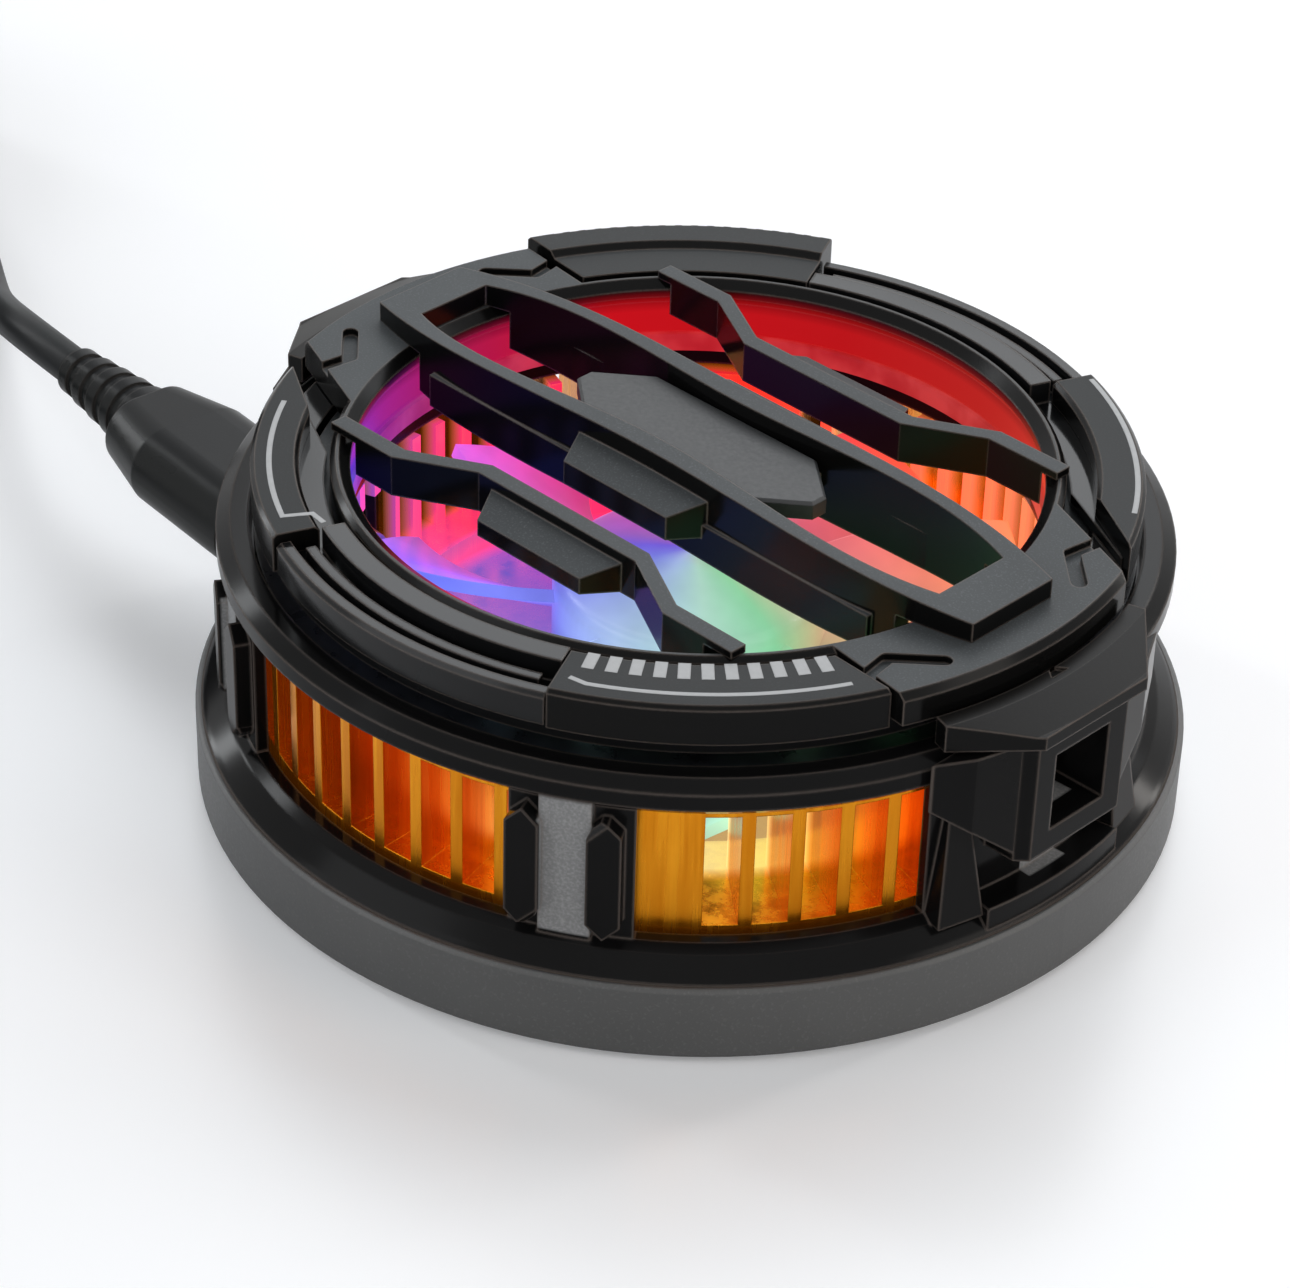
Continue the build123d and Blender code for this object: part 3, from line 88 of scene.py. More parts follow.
def add_camera():
    """Camera with the photograph's direction, tilt and distance."""
    e, r = radians(ELEVATION), radians(ROLL)
    right = Vector((1, 0, 0))
    up = Vector((0, sin(e), cos(e)))
    back = Vector((0, -cos(e), sin(e)))
    across = right * cos(r) - up * sin(r)
    upward = right * sin(r) + up * cos(r)
    place = across * SHIFT_RIGHT + upward * SHIFT_UP + back * DISTANCE
    turn = Matrix.Rotation(radians(AZIMUTH), 3, "Z")
    data = bpy.data.cameras.new("camera")
    data.sensor_width = SENSOR
    data.lens = SENSOR * FOCAL_PIXELS / PICTURE_WIDTH
    data.clip_start = 0.01
    data.clip_end = 20
    camera = bpy.data.objects.new("camera", data)
    bpy.context.collection.objects.link(camera)
    basis = Matrix((turn @ across, turn @ upward, turn @ back)).transposed().to_4x4()
    camera.matrix_world = Matrix.Translation(turn @ place * MM) @ basis
    bpy.context.scene.camera = camera


add_camera()

# Free cord: route beside the object, put-away coil and tail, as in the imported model
ROUTE = [
    (-0.057015, -0.009593, 0.0106),
    (-0.063977, -0.008861, 0.0106),
    (-0.0726, -0.0052, 0.0076),
    (-0.0804, -0.0006, 0.0037),
    (-0.0886, 0.0044, 0.0018),
    (-0.0970, 0.0094, 0.0016),
    (-0.1054, 0.0138, 0.0017),
    (-0.1132, 0.0170, 0.0024),
    (-0.1202, 0.0176, 0.0024),
]
TAIL = [
    (-0.146203, -0.018210, 0.0144),
    (-0.138853, -0.034641, 0.009675),
    (-0.125419, -0.043332, 0.0039),
    (-0.113946, -0.044114, 0.0039),
]


def coil_points():
    """Points of the coil's turns, from the end of the run to the start of the tail."""
    start, before = Vector(ROUTE[-1]) / MM, Vector(ROUTE[-2]) / MM
    angle = atan2(start.y - before.y, start.x - before.x) - pi / 2
    centre = start - Vector((cos(angle), sin(angle), 0)) * COIL_RADIUS
    step = pi / 2 / STEPS_PER_QUARTER
    swell = 2 / (1 + cos(step))
    points = []
    radius, height = COIL_RADIUS, start.z
    for layer in range(LAYERS):
        change = (-1 if layer % 2 == 0 else 1) * TURN_PITCH / 4 / STEPS_PER_QUARTER
        for _ in range(QUARTERS[layer] * STEPS_PER_QUARTER):
            angle += step
            radius += change
            points.append((angle, radius, height))
        if layer < LAYERS - 1:
            count = 2 * STEPS_PER_QUARTER
            for i in range(count):
                angle += step
                share = (1 - cos(pi * (i + 1) / count)) / 2
                points.append((angle, radius, height + LAYER_PITCH * share))
            height += LAYER_PITCH
    out = [centre + Vector((cos(a) * r * swell, sin(a) * r * swell, z - centre.z)) for a, r, z in points[:-1]]
    last_angle, last_radius, last_height = points[-1]
    end = Vector((cos(last_angle) * last_radius, sin(last_angle) * last_radius, last_height - centre.z))
    return [point * MM for point in out + [centre + end]]


def add_cord():
    """One smooth curve from the boot through the coil to the far plug."""
    points = [Vector(p) for p in ROUTE] + coil_points() + [Vector(p) for p in TAIL]
    data = bpy.data.curves.new("cord", "CURVE")
    data.dimensions = "3D"
    data.bevel_depth = CORD_DIAMETER / 2
    data.bevel_resolution = 5
    data.resolution_u = 6
    data.use_fill_caps = True
    spline = data.splines.new("NURBS")
    spline.points.add(len(points) - 1)
    for slot, point in zip(spline.points, points):
        slot.co = (*point, 1)
        slot.radius = MM  # a point's radius pads the curve's bounds
    spline.order_u = 3
    spline.use_endpoint_u = True
    cord = bpy.data.objects.new("cord", data)
    bpy.context.collection.objects.link(cord)
    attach(cord, "housing")
    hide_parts("cord_run", "cord_coil", "cord_tail")
    return cord


cord = add_cord()


# Materials

class Shade:
    """Node builder for one material."""

    def __init__(self, name, rough=0.5, metal=0.0, color=(0.5, 0.5, 0.5)):
        self.material = bpy.data.materials.new(name)
        self.material.use_nodes = True
        self.tree = self.material.node_tree
        self.main = self.tree.nodes["Principled BSDF"]
        self.main.inputs["Roughness"].default_value = rough
        self.main.inputs["Metallic"].default_value = metal
        self.main.inputs["Base Color"].default_value = (*color, 1)

    def add(self, kind, **values):
        node = self.tree.nodes.new(kind)
        for key, value in values.items():
            setattr(node, key, value)
        return node

    def link(self, source, target):
        self.tree.links.new(source, target)

    def place(self, output="Object"):
        return self.add("ShaderNodeTexCoord").outputs[output]

    def noise(self, scale, detail=3.0, rough=0.5, stretch=None):
        """Noise over the object's own coordinates, scale in features per millimetre."""
        node = self.add("ShaderNodeTexNoise")
        node.inputs["Scale"].default_value = scale / MM
        node.inputs["Detail"].default_value = detail
        node.inputs["Roughness"].default_value = rough
        source = self.place()
        if stretch:
            mapping = self.add("ShaderNodeMapping")
            mapping.inputs["Scale"].default_value = stretch
            self.link(source, mapping.inputs["Vector"])
            source = mapping.outputs["Vector"]
        self.link(source, node.inputs["Vector"])
        return node.outputs["Fac"]

    def math(self, operation, first, second=None):
        node = self.add("ShaderNodeMath", operation=operation)
        for socket, value in zip(node.inputs, (first, second)):
            if value is None:
                continue
            if isinstance(value, (int, float)):
                socket.default_value = value
            else:
                self.link(value, socket)
        return node.outputs[0]

    def span(self, source, low, high, to_low=0.0, to_high=1.0):
        """Value mapped from one range to another, held at its ends."""
        node = self.add("ShaderNodeMapRange")
        node.inputs["From Min"].default_value = low
        node.inputs["From Max"].default_value = high
        node.inputs["To Min"].default_value = to_low
        node.inputs["To Max"].default_value = to_high
        self.link(source, node.inputs["Value"])
        return node.outputs["Result"]

    def mix(self, share, first, second):
        node = self.add("ShaderNodeMix", data_type="RGBA")
        for socket, value in ((node.inputs[0], share), (node.inputs[6], first), (node.inputs[7], second)):
            if isinstance(value, (int, float)):
                socket.default_value = value
            elif isinstance(value, tuple):
                socket.default_value = (*value, 1)
            else:
                self.link(value, socket)
        return node.outputs[2]

    def ramp(self, source, stops):
        node = self.add("ShaderNodeValToRGB")
        ramp = node.color_ramp
        while len(ramp.elements) < len(stops):
            ramp.elements.new(0.5)
        for element, (position, color) in zip(ramp.elements, stops):
            element.position = position
            element.color = (*color, 1)
        self.link(source, node.inputs["Fac"])
        return node.outputs["Color"]

    def axes(self):
        """X, Y and Z of the place in the row frame."""
        node = self.add("ShaderNodeSeparateXYZ")
        self.link(self.place(), node.inputs[0])
        return node.outputs

    def radius(self):
        x, y, _ = self.axes()
        squares = self.math("ADD", self.math("MULTIPLY", x, x), self.math("MULTIPLY", y, y))
        return self.math("SQRT", squares)

    def facing_up(self):
        """1 on faces that look up, 0 on walls."""
        node = self.add("ShaderNodeSeparateXYZ")
        self.link(self.place("Normal"), node.inputs[0])
        return self.span(node.outputs["Z"], 0.80, 0.97)

    def edge(self, radius):
        """Normal that rounds the sharp edges."""
        node = self.add("ShaderNodeBevel", samples=4)
        node.inputs["Radius"].default_value = radius * MM
        return node.outputs["Normal"]

    def bump(self, height, distance, strength=1.0, normal=None):
        node = self.add("ShaderNodeBump")
        node.inputs["Strength"].default_value = strength
        node.inputs["Distance"].default_value = distance * MM
        self.link(height, node.inputs["Height"])
        if normal is not None:
            self.link(normal, node.inputs["Normal"])
        self.link(node.outputs["Normal"], self.main.inputs["Normal"])

    def painted_edge_highlight(self, bevel, low=0.985, high=0.90):
        """1 where the rounded normal leaves the flat one, which is along the edges: the mask of the painted
        edge highlights.
        """
        dot = self.add("ShaderNodeVectorMath", operation="DOT_PRODUCT")
        self.link(self.add("ShaderNodeNewGeometry").outputs["Normal"], dot.inputs[0])
        self.link(bevel, dot.inputs[1])
        return self.span(dot.outputs["Value"], low, high)

    def glow_color(self, stops):
        """Colour of the lamps by the angle round the fan's axis."""
        node = self.add("ShaderNodeTexGradient", gradient_type="RADIAL")
        self.link(self.place(), node.inputs["Vector"])
        return self.ramp(node.outputs["Fac"], stops)


# Colours of the lamps round the axis, from -X by -Y, +X and +Y back to -X
# Painted light on the fins
FIN_STOPS = [
    (0.000, (0.95, 0.04, 0.16)),
    (0.050, (0.45, 0.07, 0.40)),
    (0.110, (0.05, 0.08, 0.90)),
    (0.167, (0.30, 0.42, 0.95)),
    (0.250, (0.65, 0.80, 1.00)),
    (0.340, (0.75, 0.72, 0.40)),
    (0.430, (0.70, 0.50, 0.12)),
    (0.500, (0.80, 0.40, 0.06)),
    (0.555, (0.90, 0.26, 0.06)),
    (0.660, (0.95, 0.26, 0.12)),
    (0.760, (0.94, 0.16, 0.09)),
    (0.850, (0.90, 0.02, 0.02)),
    (0.940, (0.85, 0.02, 0.12)),
    (1.000, (0.95, 0.04, 0.16)),
]
# In the turning fan, as painted light
FAN_STOPS = [
    (0.000, (0.55, 0.08, 0.56)),
    (0.045, (0.36, 0.12, 0.62)),
    (0.100, (0.10, 0.12, 0.98)),
    (0.170, (0.15, 0.26, 1.00)),
    (0.280, (0.46, 0.74, 1.00)),
    (0.390, (0.52, 1.00, 0.66)),
    (0.470, (0.24, 0.92, 0.32)),
    (0.540, (0.70, 0.62, 0.16)),
    (0.610, (0.95, 0.30, 0.08)),
    (0.700, (0.95, 0.14, 0.05)),
    (0.800, (0.70, 0.02, 0.02)),
    (0.900, (0.75, 0.02, 0.10)),
    (0.950, (0.72, 0.04, 0.30)),
    (1.000, (0.55, 0.08, 0.56)),
]
# Painted light on the heat sink's floor
FLOOR_STOPS = [
    (0.000, (0.12, 0.14, 0.85)),
    (0.090, (0.16, 0.22, 0.90)),
    (0.200, (0.40, 0.55, 0.95)),
    (0.330, (0.60, 0.45, 0.22)),
    (0.600, (0.90, 0.30, 0.08)),
    (0.820, (0.90, 0.06, 0.04)),
    (0.910, (0.80, 0.05, 0.28)),
    (0.960, (0.40, 0.08, 0.70)),
    (1.000, (0.12, 0.14, 0.85)),
]
# Painted light on the walls over the fins
WALL_STOPS = [
    (0.000, (0.55, 0.01, 0.10)),
    (0.060, (0.35, 0.02, 0.35)),
    (0.110, (0.08, 0.03, 0.70)),
    (0.200, (0.20, 0.30, 0.90)),
    (0.330, (0.50, 0.90, 0.70)),
    (0.450, (0.10, 0.60, 0.25)),
    (0.550, (0.70, 0.10, 0.03)),
    (0.650, (0.60, 0.03, 0.02)),
    (0.800, (0.65, 0.008, 0.01)),
    (0.920, (0.75, 0.006, 0.012)),
    (1.000, (0.55, 0.01, 0.10)),
]
# Painted highlight: thin bright lines on the edges of black plastic, where rounded edges would catch the
# light
PAINTED_EDGE_HIGHLIGHT = (0.26, 0.215, 0.19)


def black_plastic(name, top=(0.074, 0.081, 0.086), wall=(0.0040, 0.0040, 0.0040), top_rough=0.42,
                  wall_rough=0.17, grain=0.008, edge=0.22, spark=0.25, ior=1.20, painted_edge_highlight=0.6, lit=False):
    """Moulded black: fine satin grain on faces that look up, smoother walls. Faces that look up are painted
    lighter than the walls, partly for the grain and partly as painted sheen.
    """
    shade = Shade(name)
    shade.main.inputs["IOR"].default_value = ior
    up = shade.facing_up()
    cloud = shade.noise(0.05, 4)
    fine = shade.noise(7.0, 2)
    tone = shade.mix(shade.span(cloud, 0.35, 0.65), tuple(c * 0.85 for c in top), tuple(c * 1.2 for c in top))
    tone = shade.mix(shade.span(fine, 0.55, 0.72, 0, spark), tone, tuple(min(1, c * 3) for c in top))
    bevel = shade.edge(edge)
    # Faces that look up take the lighter colour: grain tone with painted sheen
    color = shade.mix(up, wall, tone)
    # Painted highlight: bright lines along the edges, where the rounded edges would catch the light
    color = shade.mix(shade.math("MULTIPLY", shade.painted_edge_highlight(bevel), painted_edge_highlight), color, PAINTED_EDGE_HIGHLIGHT)
    shade.link(color, shade.main.inputs["Base Color"])
    if lit:
        # Painted light: the lamps' colours glow on the funnel's inner wall below the lip
        shade.link(shade.glow_color(WALL_STOPS), shade.main.inputs["Emission Color"])
        wall_inside = shade.span(shade.radius(), (FUNNEL_RADIUS + 0.05) * MM, (FUNNEL_RADIUS - 0.05) * MM)
        funnel = shade.math("MULTIPLY", wall_inside,
                            shade.span(shade.axes()[2], FUNNEL_LIT_TO * MM, FUNNEL_LIT_FROM * MM))
        shade.link(shade.math("MULTIPLY", funnel, 0.75), shade.main.inputs["Emission Strength"])
    rough = shade.math("ADD", shade.span(up, 0, 1, wall_rough, top_rough),
                       shade.span(cloud, 0.3, 0.7, -0.04, 0.05))
    shade.link(rough, shade.main.inputs["Roughness"])
    height = shade.math("MULTIPLY", fine, shade.span(up, 0, 1, 0.25, 1.0))
    shade.bump(height, grain, 0.6, bevel)
    return shade.material


def glossy_black(name, color=(0.006, 0.0063, 0.0068), rough=0.10, edge=0.25):
    """Polished black plastic."""
    shade = Shade(name, rough=rough)
    shade.main.inputs["IOR"].default_value = 1.30
    cloud = shade.noise(0.08, 3)
    bevel = shade.edge(edge)
    tone = shade.mix(shade.span(cloud, 0.3, 0.7), color, tuple(c * 1.8 for c in color))
    # Painted highlight: bright lines along the edges, where the rounded edges would catch the light
    shade.link(shade.mix(shade.math("MULTIPLY", shade.painted_edge_highlight(bevel), 0.5), tone, PAINTED_EDGE_HIGHLIGHT),
               shade.main.inputs["Base Color"])
    shade.link(shade.span(cloud, 0.3, 0.75, rough, rough + 0.06), shade.main.inputs["Roughness"])
    shade.bump(cloud, 0.01, 0.2, bevel)
    return shade.material


def cage_black():
    """Middle housing: glossy rim, lugs and sill, matt grey pillars."""
    shade = Shade("cage_black")
    shade.main.inputs["IOR"].default_value = 1.18
    bevel = shade.edge(0.3)
    x, y, z = shade.axes()
    turn = shade.math("ABSOLUTE", shade.math("ARCTAN2", y, x))
    pillar = shade.span(shade.math("PINGPONG", turn, PILLAR_SPACING),
                        PILLAR_HALF_ANGLE, PILLAR_HALF_ANGLE - 0.004)
    for limit in (shade.span(z, PILLAR_FOOT * MM, (PILLAR_FOOT + 0.2) * MM),
                  shade.span(z, PILLAR_HEAD * MM, (PILLAR_HEAD - 0.3) * MM),
                  shade.span(shade.radius(), PILLAR_OUTER * MM, (PILLAR_OUTER - 0.2) * MM)):
        pillar = shade.math("MULTIPLY", pillar, limit)
    fine = shade.noise(5.0, 2)
    cloud = shade.noise(0.06, 4)
    base = shade.mix(shade.span(cloud, 0.35, 0.65), (0.0038, 0.0038, 0.0040), (0.0065, 0.0065, 0.0068))
    matt = shade.mix(shade.span(fine, 0.4, 0.7), (0.24, 0.245, 0.25), (0.33, 0.335, 0.34))
    # Painted highlight: bright lines along the edges, where the rounded edges would catch the light
    edges = shade.math("MULTIPLY", shade.painted_edge_highlight(bevel), 0.5)
    shade.link(shade.mix(edges, shade.mix(pillar, base, matt), PAINTED_EDGE_HIGHLIGHT), shade.main.inputs["Base Color"])
    rough = shade.math("ADD", shade.span(pillar, 0, 1, 0.13, 0.55), shade.span(cloud, 0.3, 0.7, -0.02, 0.05))
    shade.link(rough, shade.main.inputs["Roughness"])
    shade.bump(shade.math("MULTIPLY", fine, shade.span(pillar, 0, 1, 0.08, 1.0)), 0.008, 0.6, bevel)
    return shade.material


def base_black():
    """Lowest band: matt grey-black with a fine eroded grain."""
    shade = Shade("base_black")
    fine = shade.noise(4.0, 3)
    cloud = shade.noise(0.04, 4)
    tone = shade.mix(shade.span(cloud, 0.35, 0.65), (0.066, 0.068, 0.069), (0.086, 0.088, 0.089))
    shade.link(shade.mix(shade.span(fine, 0.55, 0.7, 0, 0.12), tone, (0.27, 0.27, 0.275)),
               shade.main.inputs["Base Color"])
    shade.link(shade.span(fine, 0.3, 0.7, 0.40, 0.52), shade.main.inputs["Roughness"])
    shade.bump(fine, 0.012, 0.7, shade.edge(0.2))
    return shade.material


def gold():
    """Anodised heat sink, with painted light from the lamps glowing on its inner side and painted shade
    darkening its floor.
    """
    shade = Shade("gold_anodised", rough=0.24, metal=1.0)
    streak = shade.noise(0.9, 3, 0.6, stretch=(1, 1, 0.06))
    cloud = shade.noise(0.12, 3)
    color = shade.mix(shade.span(streak, 0.35, 0.65), (0.62, 0.19, 0.006), (0.92, 0.38, 0.02))
    color = shade.mix(shade.span(cloud, 0.35, 0.7, 0, 0.6), color, (0.74, 0.26, 0.01))
    floor = shade.span(shade.radius(), FIN_INNER * MM, FLOOR_OUTER * MM)
    # Painted shade: the floor within the fins is darkened
    color = shade.mix(shade.math("MULTIPLY", floor, 0.6), color, (0.10, 0.06, 0.05))
    shade.link(color, shade.main.inputs["Base Color"])
    shade.link(shade.span(streak, 0.3, 0.7, 0.18, 0.34), shade.main.inputs["Roughness"])
    # Painted light: the lamps' colours glow on the fins' inner edges and on the floor, with a faint orange
    # glow on the fins' outer faces
    inside = shade.span(shade.radius(), FIN_OUTER * MM, FIN_LIT * MM)
    painted_glow = shade.mix(inside, (0.80, 0.20, 0.004), shade.glow_color(FIN_STOPS))
    shade.link(shade.mix(floor, painted_glow, shade.glow_color(FLOOR_STOPS)), shade.main.inputs["Emission Color"])
    power = shade.math("MULTIPLY", shade.span(inside, 0, 1, 0.04, 0.90),
                       shade.span(floor, 0, 1, 1.0, 0.7))
    shade.link(power, shade.main.inputs["Emission Strength"])
    shade.bump(streak, 0.02, 0.3, shade.edge(0.1))
    return shade.material


def milky_fan():
    """Cloudy fan plastic with the lamps' colours painted on as glowing light."""
    shade = Shade("milky_fan", rough=0.28)
    cloud = shade.noise(0.15, 3)
    rim = shade.span(shade.radius(), HUB_RADIUS * MM, BLADE_TIP * MM)
    shade.link(shade.mix(shade.span(cloud, 0.3, 0.7, 0, 0.5), (0.12, 0.12, 0.15), (0.20, 0.20, 0.24)),
               shade.main.inputs["Base Color"])
    # Painted light: the lamps' colours glow on the fan, violet towards the hub, brighter towards the blade
    # tips
    painted_glow = shade.mix(shade.span(rim, 0, 1, 0.3, 0.0), shade.glow_color(FAN_STOPS), (0.25, 0.10, 0.45))
    shade.link(painted_glow, shade.main.inputs["Emission Color"])
    power = shade.math("MULTIPLY", shade.span(rim, 0, 1, 0.70, 1.0),
                       shade.span(cloud, 0.3, 0.7, 0.85, 1.15))
    # Painted light is stronger where the blades stand higher
    raised = shade.span(shade.axes()[2], BLADE_LOW * MM, BLADE_HIGH * MM, 0.5, 1.1)
    shade.link(shade.math("MULTIPLY", power, raised), shade.main.inputs["Emission Strength"])
    shade.main.inputs["Transmission Weight"].default_value = 0.25
    shade.bump(cloud, 0.02, 0.2, shade.edge(0.2))
    return shade.material


def glow_ring(name, strength, stops):
    """Clear plastic that shines in the lamps' colours."""
    shade = Shade(name, rough=0.35, color=(0.06, 0.05, 0.06))
    shade.main.inputs["IOR"].default_value = 1.3
    cloud = shade.noise(0.4, 2)
    shade.link(shade.mix(shade.span(cloud, 0.4, 0.6, 0, 0.02), shade.glow_color(stops), (1.0, 1.0, 1.0)),
               shade.main.inputs["Emission Color"])
    shade.link(shade.span(cloud, 0.3, 0.7, strength * 0.8, strength * 1.2),
               shade.main.inputs["Emission Strength"])
    return shade.material


def metal(name, color, rough, streaks=(1, 1, 1), scale=1.5):
    """Metal with fine streaks."""
    shade = Shade(name, rough=rough, metal=1.0)
    fine = shade.noise(scale, 3, 0.6, stretch=streaks)
    shade.link(shade.mix(shade.span(fine, 0.3, 0.7), tuple(c * 0.82 for c in color), color),
               shade.main.inputs["Base Color"])
    shade.link(shade.span(fine, 0.3, 0.7, rough * 0.8, rough * 1.25), shade.main.inputs["Roughness"])
    shade.bump(fine, 0.01, 0.3, shade.edge(0.08))
    return shade.material


def dull(name, color, rough=0.6, grain=1.5, depth=0.02, tone=0.25):
    """Matt material with an even grain."""
    shade = Shade(name, rough=rough)
    fine = shade.noise(grain, 4)
    shade.link(shade.mix(shade.span(fine, 0.3, 0.7), tuple(c * (1 - tone) for c in color),
                         tuple(min(1, c * (1 + tone)) for c in color)), shade.main.inputs["Base Color"])
    shade.link(shade.span(fine, 0.3, 0.7, rough - 0.06, rough + 0.08), shade.main.inputs["Roughness"])
    shade.bump(fine, depth, 0.5, shade.edge(0.12))
    return shade.material


def cold_face():
    """Turned face of the cold plate: fine rings."""
    shade = Shade("turned_aluminium", rough=0.3, metal=1.0)
    wave = shade.math("SINE", shade.math("MULTIPLY", shade.radius(), 2 * pi / (TURNING_PITCH * MM)))
    fine = shade.noise(1.2, 3)
    shade.link(shade.mix(shade.span(fine, 0.3, 0.7), (0.68, 0.69, 0.71), (0.84, 0.85, 0.86)),
               shade.main.inputs["Base Color"])
    shade.link(shade.span(fine, 0.3, 0.7, 0.22, 0.36), shade.main.inputs["Roughness"])
    shade.bump(wave, 0.004, 0.5, shade.edge(0.1))
    return shade.material


def paint(obj, material):
    obj.data.materials.clear()
    obj.data.materials.append(material)


SATIN = black_plastic("satin_black")
PANEL = black_plastic("panel_black", top=(0.020, 0.022, 0.023), top_rough=0.36, wall_rough=0.15)
LUG = black_plastic("lug_black", top=(0.0065, 0.0060, 0.0056), top_rough=0.34, wall_rough=0.15)
GLOSS = glossy_black("gloss_black")
STEEL = metal("bright_steel", (0.66, 0.66, 0.68), 0.28)
CERAMIC = dull("white_ceramic", (0.85, 0.85, 0.83), 0.5, 0.8, 0.004, 0.05)
CORD = black_plastic("cord_jacket", top=(0.014, 0.016, 0.017), wall=(0.009, 0.010, 0.011), top_rough=0.42,
                     wall_rough=0.40, grain=0.01, edge=0.05, spark=0.15, ior=1.22, painted_edge_highlight=0.0)
PLUG = black_plastic("plug_grip", top=(0.008, 0.009, 0.010), wall=(0.005, 0.006, 0.006), top_rough=0.32,
                     wall_rough=0.28, grain=0.006, edge=0.3, spark=0.1, ior=1.22, painted_edge_highlight=0.1)

FINISHES = {
    "cold_plate": cold_face(),
    "contact_pad": dull("soft_pad", (0.03, 0.03, 0.032), 0.62, 1.0, 0.01),
    "base_shell": base_black(),
    "ring_magnets": metal("nickel", (0.66, 0.66, 0.68), 0.2),
    "magnet_shunt": STEEL,
    "peltier_cold_ceramic": CERAMIC,
    "peltier_hot_ceramic": CERAMIC,
    "peltier_legs": metal("leg_metal", (0.35, 0.34, 0.36), 0.4),
    "insulation_frame": dull("foam", (0.06, 0.06, 0.062), 0.9, 2.5, 0.1),
    "heat_sink": gold(),
    "cage": cage_black(),
    "usb_socket_shell": STEEL,
    "usb_socket_tongue": GLOSS,
    "port_board": dull("board_mask", (0.02, 0.11, 0.05), 0.35, 0.6, 0.004),
    "control_board": dull("board_black", (0.015, 0.016, 0.02), 0.3, 0.6, 0.004),
    "lamp_chips": glow_ring("lamp_light", 2.0, FAN_STOPS),
    "board_chips": dull("chip_black", (0.02, 0.02, 0.022), 0.5, 2.0, 0.004),
    "mode_switch": STEEL,
    "light_ring": glow_ring("ring_light", 0.7, WALL_STOPS),
    "top_cover": black_plastic("cover_black", lit=True),
    "front_lug_plate": LUG,
    "rear_lug_plate": LUG,
    "grille_frame": SATIN,
    "grille_side_bars": SATIN,
    "badge_plate": dull("badge_grey", (0.026, 0.028, 0.030), 0.5, 3.0, 0.01, 0.15),
    "cover_screws": STEEL,
    "base_screws": STEEL,
    "motor_bracket": STEEL,
    "sleeve_bearing": metal("bronze", (0.55, 0.36, 0.18), 0.35),
    "stator_core": metal("core_steel", (0.3, 0.3, 0.32), 0.45, (1, 1, 12)),
    "stator_coils": metal("copper_wire", (0.75, 0.34, 0.14), 0.3, (1, 1, 8)),
    "impeller": milky_fan(),
    "rotor_yoke": STEEL,
    "rotor_magnet": dull("ferrite", (0.03, 0.03, 0.032), 0.55),
    "fan_shaft": STEEL,
    "mode_ring": GLOSS,
    "scale_panel": PANEL,
    "left_panel": PANEL,
    "right_panel": PANEL,
    "grip_panel": PANEL,
    "switch_slider": GLOSS,
    "usb_plug_shell": STEEL,
    "usb_plug_body": PLUG,
    "cord_boot": PLUG,
    "coil_tie": dull("tie_black", (0.03, 0.03, 0.032), 0.6),
    "usb_a_shell": STEEL,
    "usb_a_body": PLUG,
    "usb_a_tongue": dull("tongue_white", (0.8, 0.8, 0.78), 0.4, 1.0, 0.004, 0.05),
}
for node, material in FINISHES.items():
    paint(NODES[node], material)
paint(cord, CORD)


# Printed marks on the turning ring

def polar(radius, angle):
    return Vector((radius * cos(radians(angle)), radius * sin(radians(angle)), 0))


def strip(points, width):
    """Outline of a line of even width with mitred corners."""
    left, right = [], []
    for i, point in enumerate(points):
        before = (point - points[i - 1]).normalized() if i else None
        after = (points[i + 1] - point).normalized() if i < len(points) - 1 else None
        along = (before or after) + (after or before)
        along.normalize()
        side = Vector((-along.y, along.x, 0))
        reference = after or before
        scale = 1 / max(0.35, side.dot(Vector((-reference.y, reference.x, 0))))
        left.append(point + side * width / 2 * scale)
        right.append(point - side * width / 2 * scale)
    return left, right


def arc(radius, start, end, step=1.5):
    count = max(2, int(abs(end - start) / step) + 1)
    return [polar(radius, start + (end - start) * i / (count - 1)) for i in range(count)]


def printed(name, lines, level, material, body):
    """Thin ink film of several strips."""
    mesh = bpy.data.meshes.new(name)
    build = bmesh.new()
    for points, width in lines:
        left, right = strip(points, width)
        lower, upper = [
            [(build.verts.new(Vector((a.x, a.y, z)) * MM), build.verts.new(Vector((b.x, b.y, z)) * MM))
             for a, b in zip(left, right)]
            for z in (level, level + PRINT_LIFT)]
        for i in range(len(points) - 1):
            build.faces.new((upper[i][1], upper[i + 1][1], upper[i + 1][0], upper[i][0]))
            build.faces.new((lower[i][0], lower[i + 1][0], lower[i + 1][1], lower[i][1]))
            build.faces.new((upper[i][0], upper[i + 1][0], lower[i + 1][0], lower[i][0]))
            build.faces.new((lower[i][1], lower[i + 1][1], upper[i + 1][1], upper[i][1]))
        for i in (0, len(points) - 1):
            quad = (upper[i][0], lower[i][0], lower[i][1], upper[i][1])
            build.faces.new(quad if i == 0 else quad[::-1])
    bmesh.ops.recalc_face_normals(build, faces=build.faces)
    build.to_mesh(mesh)
    build.free()
    obj = bpy.data.objects.new(name, mesh)
    bpy.context.collection.objects.link(obj)
    paint(obj, material)
    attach(obj, body)
    return obj


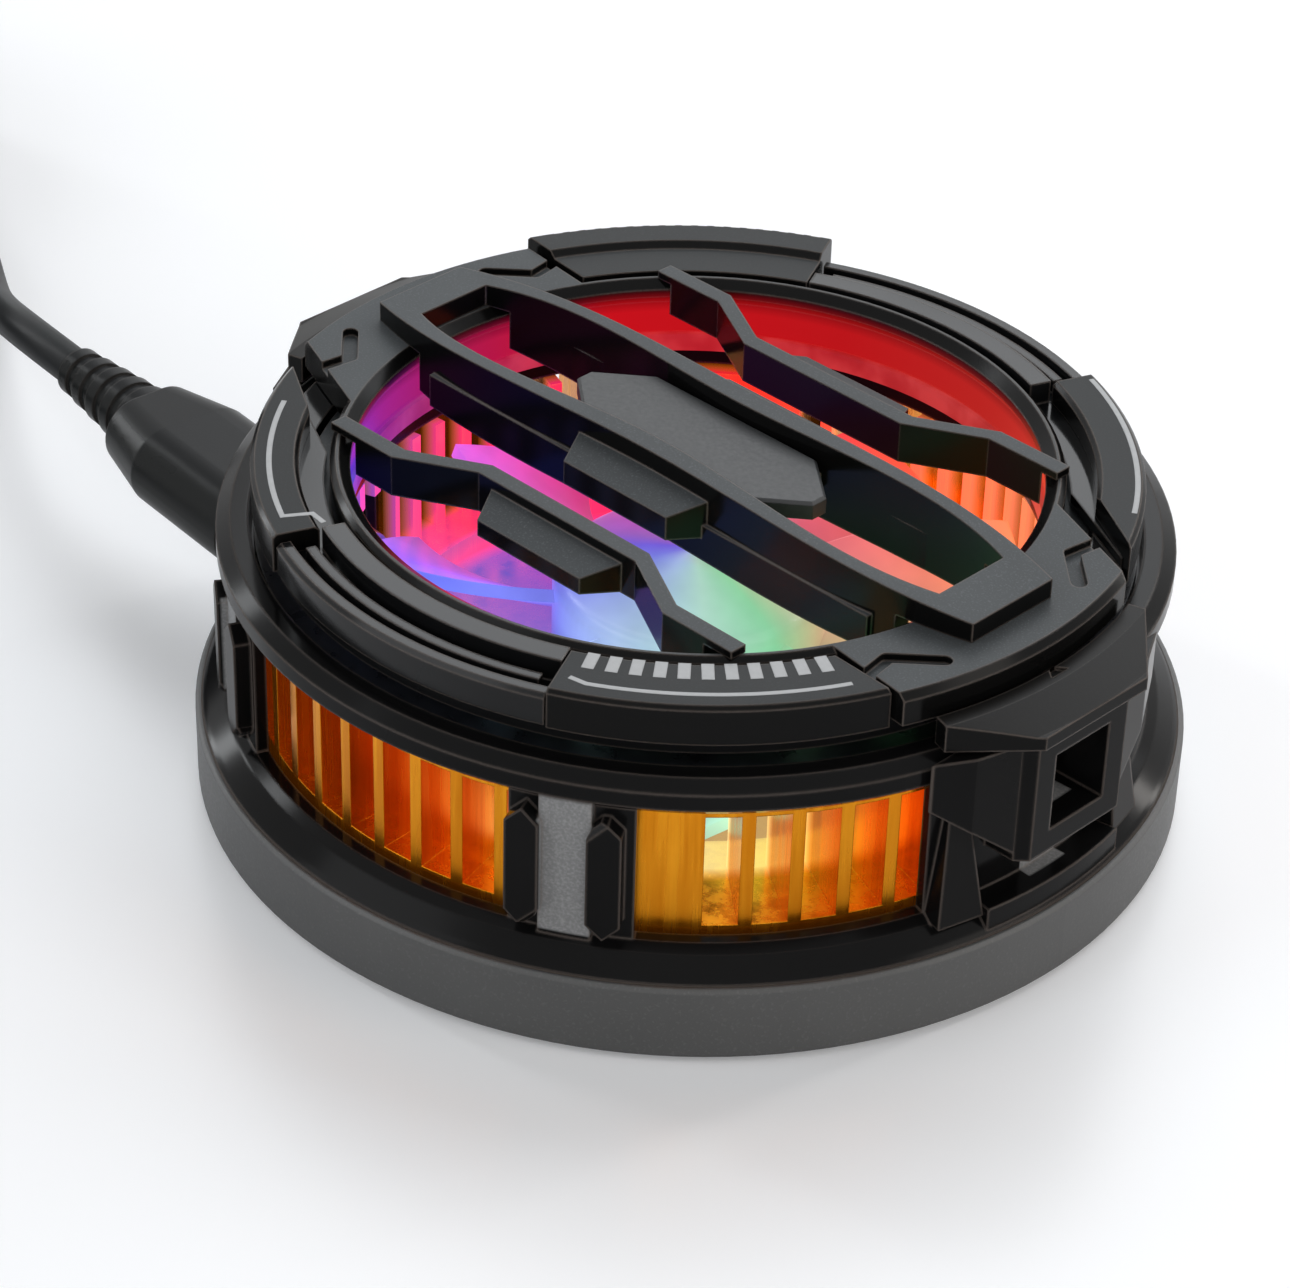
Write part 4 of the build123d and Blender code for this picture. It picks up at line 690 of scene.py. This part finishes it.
INK = dull("white_ink", (0.42, 0.43, 0.44), 0.5, 1.2, 0.004, 0.08)
TICKS = 11
TICK_FIRST = -60.3
TICK_LAST = -28.1
ticks = []
for i in range(TICKS):
    angle = TICK_FIRST + (TICK_LAST - TICK_FIRST) * i / (TICKS - 1)
    ticks.append(([polar(25.75, angle), polar(27.5, angle)], 0.82))
printed("scale_ticks", ticks, PANEL_TOP, INK, "ring")
scale_line = [polar(28.75, -61.9)] + arc(29.15, -59.5, -26.1)
printed("scale_line", [(scale_line, 0.38)], PANEL_TOP, INK, "ring")
printed("left_line", [(arc(29.3, 214.0, 243.7) + [polar(27.3, 244.2), polar(26.9, 247.0)], 0.38)],
        PANEL_TOP, INK, "ring")
printed("right_line", [(arc(30.0, 32.0, 66.5), 0.38)], PANEL_TOP, INK, "ring")


# Stage, world and lamps

FLOOR_HALF_SIDE = 3.0
FLOOR_DROP = 0.00002
FLOOR_LIFT = 0.18
WORLD_LIGHT = 0.26
WORLD_SEEN = 1.0


def add_floor():
    """Pale floor under the object."""
    mesh = bpy.data.meshes.new("floor")
    build = bmesh.new()
    bmesh.ops.create_grid(build, x_segments=1, y_segments=1, size=FLOOR_HALF_SIDE)
    build.to_mesh(mesh)
    build.free()
    floor = bpy.data.objects.new("floor", mesh)
    bpy.context.collection.objects.link(floor)
    floor.location.z = -FLOOR_DROP
    shade = Shade("floor_pale", rough=0.30, color=(0.86, 0.87, 0.89))
    cloud = shade.noise(0.004, 2)
    shade.link(shade.mix(shade.span(cloud, 0.3, 0.7), (0.84, 0.85, 0.87), (0.88, 0.89, 0.91)),
               shade.main.inputs["Base Color"])
    shade.main.inputs["Emission Color"].default_value = (0.95, 0.97, 1.0, 1)
    path = shade.add("ShaderNodeLightPath")
    shade.link(shade.math("MULTIPLY", path.outputs["Is Camera Ray"], FLOOR_LIFT),
               shade.main.inputs["Emission Strength"])
    paint(floor, shade.material)


def set_world():
    """White where it is seen or mirrored, and a soft even light elsewhere."""
    world = bpy.data.worlds.new("world")
    bpy.context.scene.world = world
    world.use_nodes = True
    tree = world.node_tree
    background = tree.nodes["Background"]
    path = tree.nodes.new("ShaderNodeLightPath")
    seen = tree.nodes.new("ShaderNodeMath")
    seen.operation = "MAXIMUM"
    shown = tree.nodes.new("ShaderNodeMath")
    shown.operation = "MAXIMUM"
    tree.links.new(path.outputs["Is Camera Ray"], seen.inputs[0])
    tree.links.new(path.outputs["Is Transmission Ray"], seen.inputs[1])
    tree.links.new(seen.outputs[0], shown.inputs[0])
    tree.links.new(path.outputs["Is Glossy Ray"], shown.inputs[1])
    strength = tree.nodes.new("ShaderNodeMapRange")
    strength.inputs["To Min"].default_value = WORLD_LIGHT
    strength.inputs["To Max"].default_value = WORLD_SEEN
    tree.links.new(shown.outputs[0], strength.inputs["Value"])
    tree.links.new(strength.outputs["Result"], background.inputs["Strength"])
    background.inputs["Color"].default_value = (1, 1, 1, 1)


def add_lamp(name, azimuth, elevation, distance, size, power, color=(1, 1, 1)):
    """Soft box round the object. Azimuth and elevation are where it stands, as for a camera."""
    a, e = radians(azimuth), radians(elevation)
    away = Vector((sin(a) * cos(e), -cos(a) * cos(e), sin(e)))
    data = bpy.data.lights.new(name, "AREA")
    data.shape = "RECTANGLE"
    data.size, data.size_y = size
    data.energy = power
    data.color = color
    lamp = bpy.data.objects.new(name, data)
    bpy.context.collection.objects.link(lamp)
    lamp.location = away * distance
    lamp.rotation_mode = "QUATERNION"
    lamp.rotation_quaternion = (-away).to_track_quat("-Z", "Y")


add_floor()
set_world()
add_lamp("key", AZIMUTH + 160, 48, 0.9, (0.8, 0.6), 4.0, (0.94, 0.97, 1.0))
add_lamp("left", AZIMUTH - 75, 30, 0.8, (0.45, 0.6), 1.3, (0.96, 0.98, 1.0))
add_lamp("right", AZIMUTH + 70, 25, 0.8, (0.35, 0.5), 1.3, (1.0, 0.93, 0.86))
add_lamp("front", AZIMUTH + 5, 20, 1.0, (0.8, 0.25), 1.6, (1.0, 0.95, 0.9))
add_lamp("strip_left", AZIMUTH - 125, 22, 0.7, (0.05, 0.5), 0.8, (0.95, 0.98, 1.0))
add_lamp("strip_right", AZIMUTH + 120, 28, 0.7, (0.05, 0.5), 0.8, (1.0, 0.96, 0.92))

bpy.context.scene.view_settings.view_transform = "Standard"
